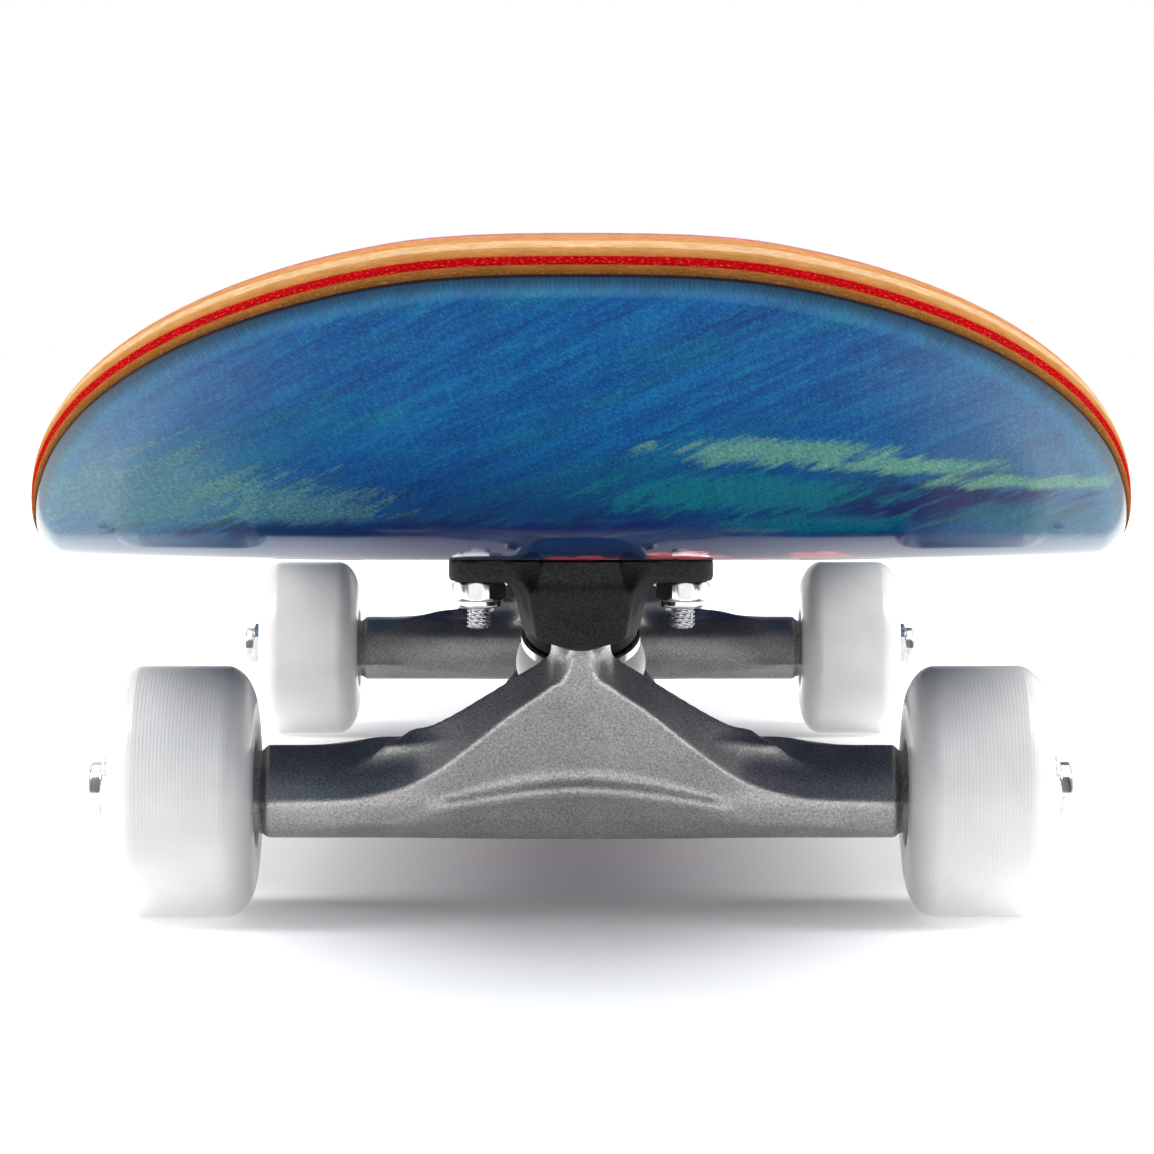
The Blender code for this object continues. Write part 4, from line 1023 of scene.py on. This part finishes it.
def joined_mesh(name, meshes):
    """Return one mesh of several, each with a matrix."""
    vertices, faces = [], []
    for mesh, matrix in meshes:
        start = len(vertices)
        vertices.extend((matrix @ vertex.co)[:] for vertex in mesh.vertices)
        faces.extend(tuple(start + i for i in polygon.vertices) for polygon in mesh.polygons)
    made = bpy.data.meshes.new(name)
    made.from_pydata(vertices, [], faces)
    made.update()
    return made


def build_board():
    """The deck and its grip tape."""
    half = THICKNESS / 2
    deck = put("board", board_mesh("board", EDGE, -half, half, EDGE), DECK_FINISH)
    bottom = DECK_BOTTOM / MM
    rows = [(5.6, bottom + 13.0), (5.1, bottom + 11.9), (2.8, bottom + 9.6), (2.8, bottom - 2.0)]
    holes = turned("holes", rows, 24)
    spots = [(holes, Matrix.Translation((x, y, 0.0))) for _, x, y in bolt_places()]
    cut_holes(deck, joined_mesh("holes", spots))
    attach(deck, "root")
    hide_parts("deck")
    sheet = board_mesh("grip_sheet", GRIP_INSET, GRIP_LOW, GRIP_HIGH, 0.0)
    grip = put("grip_sheet", sheet, GRIP_FINISH)
    wide = turned("wide_holes", [(5.5, bottom + 15.0), (5.5, bottom + 8.0)], 28)
    spots = [(wide, Matrix.Translation((x, y, 0.0))) for _, x, y in bolt_places()]
    cut_holes(grip, joined_mesh("wide_holes", spots))
    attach(grip, "root")
    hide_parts("grip_tape")


def thread_rows(radius, start, end, steps):
    """Return close rows along a rod, for a thread."""
    return [(radius, start + (end - start) * i / steps) for i in range(steps + 1)]


def nut_rows(low, high, circumradius, bore, collar_height, collar_radius):
    """Return the rows of a lock nut with a chamfered hexagon and a round collar at its low end."""
    flat = circumradius * math.cos(math.pi / 6)
    rows = [(bore, high), (flat - 0.35, high), (flat - 0.1, high - 0.02)]
    chamfer = circumradius - flat + 0.2
    shoulder = low + collar_height
    for i in range(5):
        rows.append((flat - 0.1 + chamfer * i / 4, high - 0.02 - 0.55 * i / 4, circumradius))
    for i in range(5):
        rows.append((circumradius + 0.1 - chamfer * i / 4, shoulder + 0.6 - 0.6 * i / 4, circumradius))
    rows.append((collar_radius, shoulder - 0.1))
    rows += arc_rows(collar_radius - 0.7, low + 0.7, 0.7, 0.0, -90.0, 5)
    rows += [(bore + 0.9, low), (bore + 0.55, low + 0.3), (bore + 0.1, low + 0.35), (bore, low + 0.5)]
    return rows


def ring_rows(outer, bore, low, high):
    """Return the rows of a plain ring."""
    return [(outer, low), (bore, low), (bore, high), (outer, high)]


def build_deck_hardware():
    """Eight socket-head deck bolts and their lock nuts."""
    low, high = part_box("front_outer_left_deck_bolt")
    top = high.z / MM
    tip = low.z / MM
    rows = [(0.02, top - 1.4), (1.75, top - 1.4, 1.75), (1.8, top - 0.1, 1.8), (2.1, top), (4.4, top)]
    rows += [(4.68, top - 0.25), (2.42, top - 2.35)]
    rows += [(DECK_BOLT_RADIUS, top - 2.4 - i * 1.6) for i in range(7)]
    start = tip + 8.0
    rows += thread_rows(DECK_BOLT_RADIUS, start, tip + 0.35, 84)
    rows += [(1.7, tip), (0.02, tip)]
    thread = (tip + 0.2, start - 0.4, DECK_BOLT_PITCH, 0.42)
    bolt = turned("deck_bolt", rows, 36, thread=thread, sharp_angle=30.0)
    nut_low, nut_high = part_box("front_outer_left_deck_nut")
    nut_low, nut_high = nut_low.z / MM, nut_high.z / MM
    rows = nut_rows(nut_low, nut_high, DECK_NUT_CORNER, 2.5, 1.5, 4.5)
    nut = turned("deck_nut", rows, 48, closed=True, sharp_angle=28.0)
    ring = turned("nylon_ring", ring_rows(3.35, 2.5, nut_low + 0.1, nut_low + 1.2), 32, closed=True)
    for name, x, y in bolt_places():
        place = Matrix.Translation((x, y, 0.0))
        turn = place @ Matrix.Rotation(math.radians((x * 9000 + y * 7000) % 60), 4, "Z")
        put(name + "_socket_bolt", bolt, CHROME, "root", [name + "_deck_bolt"], turn)
        put(name + "_lock_nut", nut, CHROME, "root", [name + "_deck_nut"], turn)
        put(name + "_nylon_ring", ring, NYLON, "root", (), turn)


def washer_rows(flat, step, lip):
    """Return a cup washer's rows: flat at one height, with a lip past its thickness."""
    rows = [(CUSHION_BORE, flat), (12.0, flat), (12.4, flat + 0.3 * step), (12.4, lip - 0.2 * step)]
    rows += [(12.25, lip), (11.7, lip), (11.5, lip - 0.3 * step), (11.4, flat + 1.5 * step)]
    rows += [(11.0, flat + 1.2 * step), (CUSHION_BORE, flat + 1.2 * step)]
    return rows if step < 0 else rows[::-1]


def build_truck_body(end, hanger_mesh, plate_mesh, parts):
    """One truck's hanger, baseplate, kingpin, bushings and pivot cup."""
    place = truck_frame(end)
    kingpin = place @ axis_frame(RING_AT, KINGPIN_DIRECTION)
    steer = place @ axis_frame(STEER_AT, STEER_DIRECTION)
    body = end + "_hanger"
    put(end + "_hanger_casting", hanger_mesh, HANGER_FINISH, body, [body], place)
    base = end + "_baseplate"
    put(base + "_casting", plate_mesh, BASE_FINISH, "root", [base], place)
    put(end + "_pivot_bush", parts["cup"], BLACK_RUBBER, "root", [end + "_pivot_cup"], steer)
    put(end + "_kingpin_bolt", parts["kingpin"], ZINC, "root", [end + "_kingpin"], kingpin)
    nut = end + "_kingpin_nut"
    put(end + "_kingpin_lock_nut", parts["kingpin_nut"], CHROME, "root", [nut], kingpin)
    put(end + "_kingpin_nylon_ring", parts["kingpin_ring"], NYLON, "root", (), kingpin)
    for where in ("boardside", "roadside"):
        cup = f"{end}_{where}_cup_washer"
        put(cup, parts[where + "_washer"], CHROME, "root", [f"{end}_{where}_washer"], kingpin)
        mesh = parts[where + "_bushing"].copy()
        mesh.transform(kingpin)
        cushion = put(f"{end}_{where}_urethane_bushing", mesh, BUSHING)
        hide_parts(f"{end}_{where}_bushing")
        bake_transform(cushion)


def truck_parts():
    """The turned parts that both trucks share."""
    parts = {}
    rows = [(6.6, 3.6), (6.2, 4.2), (0.02, 4.2)][::-1]
    rows += [(6.6, -3.5), (6.3, -4.0), (5.4, -4.0), (5.1, -3.6), (5.1, 2.6), (4.6, 2.9), (0.02, 2.9)]
    parts["cup"] = turned("pivot_bush", rows, 40)
    tip, top = KINGPIN_SPAN
    rows = [(0.02, top), (7.0, top)]
    flat = KINGPIN_CORNER * math.cos(math.pi / 6)
    rows += [(flat - 0.1 + 0.35 * i, top - 0.05 - 0.2 * i, KINGPIN_CORNER) for i in range(5)]
    rows += [(8.4, top - 4.5, KINGPIN_CORNER), (flat, top - 5.0, KINGPIN_CORNER)]
    rows.append((KINGPIN_RADIUS, top - 5.0))
    rows += [(KINGPIN_RADIUS, 26.0 - i * 4.0) for i in range(9)]
    start = -14.5
    rows += thread_rows(KINGPIN_RADIUS, start, tip + 0.6, 92)
    rows += [(3.8, tip), (0.02, tip)]
    thread = (tip + 0.3, start - 0.6, KINGPIN_PITCH, 0.55)
    parts["kingpin"] = turned("kingpin_bolt", rows, 48, thread=thread, sharp_angle=30.0)
    nut = nut_rows(-24.0, -16.0, KINGPIN_CORNER, 4.95, 2.4, 6.9)
    parts["kingpin_nut"] = turned("kingpin_lock_nut", nut, 60, closed=True, sharp_angle=28.0)
    parts["kingpin_ring"] = turned("kingpin_nylon_ring", ring_rows(5.9, 4.9, -23.9, -22.4), 40, closed=True)
    parts["boardside_washer"] = turned("boardside_cup", washer_rows(17.7, -1.0, 15.5), 56, closed=True)
    parts["roadside_washer"] = turned("roadside_cup", washer_rows(-15.7, 1.0, -13.5), 56, closed=True)
    low, high = BOARDSIDE_CUSHION
    rows = [(CUSHION_BORE, high), (10.4, high)] + arc_rows(10.4, 15.4, 0.8, 80.0, 10.0, 5)
    for i in range(1, 16):
        t = i / 16
        rows.append((11.2 + 2.3 * math.sin(math.pi * t) ** 0.6, 15.4 + (5.6 - 15.4) * t))
    rows += arc_rows(10.4, 5.6, 0.8, -10.0, -80.0, 5) + [(10.4, low), (CUSHION_BORE, low)]
    parts["boardside_bushing"] = turned("boardside_bushing", rows, 64, closed=True)
    high, low = ROADSIDE_CUSHION
    rows = [(CUSHION_BORE, high), (11.2, high)] + arc_rows(11.3, -5.6, 0.8, 80.0, 10.0, 5)
    for i in range(1, 12):
        t = i / 12
        rows.append((12.1 - 1.9 * t + 0.25 * math.sin(math.pi * t), -5.6 + (-13.4 + 5.6) * t))
    rows += arc_rows(9.4, -13.4, 0.8, -10.0, -80.0, 5) + [(9.4, low), (CUSHION_BORE, low)]
    parts["roadside_bushing"] = turned("roadside_bushing", rows, 64, closed=True)
    return parts


def wheel_parts():
    """The turned parts that all four wheels share, with Z outboard from the wheel's middle."""
    parts = {}
    rows = [(9.0, 4.7), (11.3, 4.7), (11.3, 13.8), (11.5, 14.4), (12.0, WHEEL_HALF)]
    rows += [(14.6, WHEEL_HALF), (15.6, WHEEL_HALF - 0.01)]
    lip = WHEEL_HALF - TREAD_HALF
    for a in np.linspace(0.05, math.pi / 2, 26):
        rows.append((16.5 + (WHEEL_RADIUS - 16.5) * math.sin(a), TREAD_HALF + lip * math.cos(a)))
    rows += [(WHEEL_RADIUS, TREAD_HALF - TREAD_HALF * i / 6) for i in range(1, 7)]
    rows += [(r, -h) for r, h in reversed(rows[:-1])]
    parts["wheel"] = turned("urethane_wheel", rows, 144, closed=True, sharp_angle=45.0)
    race = [(9.3, 12.0), (10.7, 12.0), (11.0, 11.7), (11.0, 5.3), (10.7, 5.0), (9.3, 5.0)]
    parts["race"] = turned("outer_race", race, 72, closed=True)
    shield = [(6.15, 11.55), (6.5, 11.6), (7.4, 11.35), (8.5, 11.35), (9.0, 11.65), (9.28, 11.7)]
    shield += [(9.28, 11.3), (9.0, 11.25), (8.5, 10.95), (7.4, 10.95), (6.5, 11.2), (6.15, 11.15)]
    parts["shield"] = turned("shield", shield, 72, closed=True)
    # A wheel's two inner races and the spacer between them.
    sleeve = [(4.35, 12.0), (5.75, 12.0), (6.0, 11.75), (6.0, 5.0), (5.2, 5.0), (5.2, -5.0), (6.0, -5.0)]
    sleeve += [(6.0, -11.75), (5.75, -12.0), (4.35, -12.0)]
    parts["sleeve"] = turned("inner_races", sleeve, 48, closed=True)
    washer = [(4.4, 0.42), (5.5, 0.42), (5.7, 0.2), (5.7, -0.2), (5.5, -0.42), (4.4, -0.42)]
    parts["washer"] = turned("speed_washer", washer, 48, closed=True)
    low = 94.75 - WHEEL_MIDDLE
    high = 101.3 - WHEEL_MIDDLE
    rows = nut_rows(low, high, AXLE_NUT_CORNER, 4.4, 2.3, 6.1)
    nut = [(r, low + high - h, *more) for r, h, *more in rows]
    parts["nut"] = turned("axle_lock_nut", nut[::-1], 60, closed=True, sharp_angle=28.0)
    ring = ring_rows(5.2, 4.35, high - 1.3, high - 0.1)
    parts["ring"] = turned("axle_nylon_ring", ring[::-1], 40, closed=True)
    return parts


def build_axle(end):
    """An axle rod, closely ringed where its nuts sit."""
    rows = [(0.02, AXLE_HALF), (3.2, AXLE_HALF), (3.9, AXLE_HALF - 0.6)]
    rows += thread_rows(AXLE_RADIUS, 100.8, 93.0, 110)
    rows += [(AXLE_RADIUS, height) for height in (85.0, 68.0, 30.0)]
    rows += [(r, -h) for r, h in reversed(rows)]
    mesh = turned("axle_rod", rows, 36, sharp_angle=30.0)
    place = truck_frame(end) @ Matrix.Translation((0.0, 0.0, AXLE_Z * MM))
    sideways = place @ Matrix.Rotation(math.pi / 2, 4, "Y")
    put(end + "_axle_rod", mesh, ZINC, end + "_hanger", [end + "_axle"], sideways)


def build_wheels(end, parts):
    """Both wheels of a truck, with bearings, washers and nuts."""
    bodies = frame["record"]["behaviour"]["bodies"]
    for side, sign in SIDES:
        label = f"{end}_{side}"
        low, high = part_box(label + "_wheel")
        place = Matrix.Translation((low + high) / 2) @ Matrix.Rotation(sign * math.pi / 2, 4, "Y")
        turning = label + "_wheel"
        still = end + "_hanger"
        sleeve_body = next(b for b, nodes in bodies.items() if label + "_bearing_spacer" in nodes)
        put(label + "_urethane_wheel", parts["wheel"], URETHANE, turning, [turning], place)
        inner_place = place @ Matrix.Rotation(math.pi, 4, "X")
        for where, spot in (("outboard", place), ("inboard", inner_place)):
            name = f"{label}_{where}"
            put(name + "_outer_race", parts["race"], ZINC, turning, [name + "_bearing"], spot)
            put(name + "_shield", parts["shield"], SHIELD, turning, (), spot)
            shift = 12.5 if where == "outboard" else 12.55
            at = spot @ Matrix.Translation((0.0, 0.0, shift * MM))
            put(name + "_speed_washer", parts["washer"], ZINC, still, (), at)
        spacer = label + "_bearing_spacer"
        put(label + "_inner_races", parts["sleeve"], ZINC, sleeve_body, [spacer], place)
        put(label + "_axle_lock_nut", parts["nut"], CHROME, still, [label + "_axle_nut"], place)
        put(label + "_axle_nylon_ring", parts["ring"], NYLON, still, (), place)


def build_trucks():
    """Both trucks."""
    step = 0.62
    low, high = (-70.5, -32.5, 14.0), (70.5, 30.5, 70.0)
    hanger = solid_mesh("hanger_casting", hanger_distance, low, high, step)
    low, high = (-28.5, -49.5, 50.0), (28.5, 37.5, 77.5)
    plate = solid_mesh("baseplate_casting", baseplate_distance, low, high, step)
    turned_parts = truck_parts()
    wheels = wheel_parts()
    for end in ENDS:
        build_truck_body(end, hanger, plate, turned_parts)
        build_axle(end)
        build_wheels(end, wheels)


# Studio ----------------------------------------------------------------------------------------


def area_light(name, place, target, size, energy):
    """A soft square light."""
    light = bpy.data.lights.new(name, "AREA")
    light.energy = energy
    light.shape = "SQUARE"
    light.size = size
    lamp = link(name, light)
    lamp.location = place
    lamp.rotation_mode = "QUATERNION"
    lamp.rotation_quaternion = (Vector(target) - Vector(place)).to_track_quat("-Z", "Y")


def build_floor():
    """A white floor that glows more away from the board: painted light, leaving a painted shadow round the
    board.
    """
    corners = [(x * FLOOR_HALF, y * FLOOR_HALF, 0.0) for x, y in ((-1, -1), (1, -1), (1, 1), (-1, 1))]
    mesh = bpy.data.meshes.new("floor")
    mesh.from_pydata(corners, [], [(0, 1, 2, 3)])
    floor = link("floor", mesh)
    f = Finish("floor_finish", 0.6, Specular_IOR_Level=0.1)
    speck = f.noise(f.place, 3.0, 2.0, 0.5)
    f.set("Base Color", f.ramp(speck, [(0.3, grey(0.86)), (0.7, grey(0.88))]))
    f.set("Emission Color", WHITE)
    x, y, _ = f.part(f.place)
    far = f.length(f.over(x, SHADOW_REACH[0]), f.over(y, SHADOW_REACH[1]))
    # Painted light and shadow: the floor glows strongly beyond an ellipse round the board and barely inside
    # it.
    f.set("Emission Strength", f.scaled(f.step(far, 0.62, 1.02), 0.50, 0.04))
    mesh.materials.append(f.material)


def build_world():
    """A surround that is dim in front and bright behind, with dark flags round it."""
    world = bpy.data.worlds.new("studio")
    world.use_nodes = True
    bpy.context.scene.world = world
    w = Nodes(world.node_tree)
    x, y, _ = w.part(w.add("ShaderNodeTexCoord").outputs["Generated"])
    bright = w.ramp(w.scaled(y, 0.5, 0.5), [(0.10, grey(0.30)), (0.62, grey(0.95))])
    flags = w.math("SINE", w.scaled(w.math("ARCTAN2", y, x), 5.0, 0.8))
    shaded = w.mix(1.0, bright, w.step(flags, 0.35, 0.75, 1.0, 0.25), "MULTIPLY")
    seen = w.add("ShaderNodeLightPath").outputs["Is Camera Ray"]
    w.wire(w.tree.nodes["Background"].inputs["Color"], w.mix(seen, shaded, WHITE))


def build_studio():
    """The floor, the surround, soft lights and the camera."""
    scene = bpy.context.scene
    scene.view_settings.view_transform = "Standard"
    build_floor()
    build_world()
    area_light("overhead", (0.0, 0.0, 1.5), (0.0, 0.0, 0.0), 1.8, 26.0)
    area_light("left_wall", (-0.95, -0.35, 1.2), (0.0, -0.1, 0.03), 0.6, 14.0)
    area_light("right_wall", (0.95, -0.35, 1.2), (0.0, -0.1, 0.03), 0.6, 14.0)

    camera_data = bpy.data.cameras.new("camera")
    camera_data.lens = LENS
    camera_data.sensor_width = SENSOR
    camera_data.clip_start = 0.05
    camera_data.clip_end = 30.0
    camera = link("camera", camera_data)
    camera.location = CAMERA_AT
    camera.rotation_euler = (math.pi / 2 - CAMERA_PITCH, 0.0, 0.0)
    scene.camera = camera


build_board()
build_deck_hardware()
build_trucks()
build_studio()
bpy.context.view_layer.update()
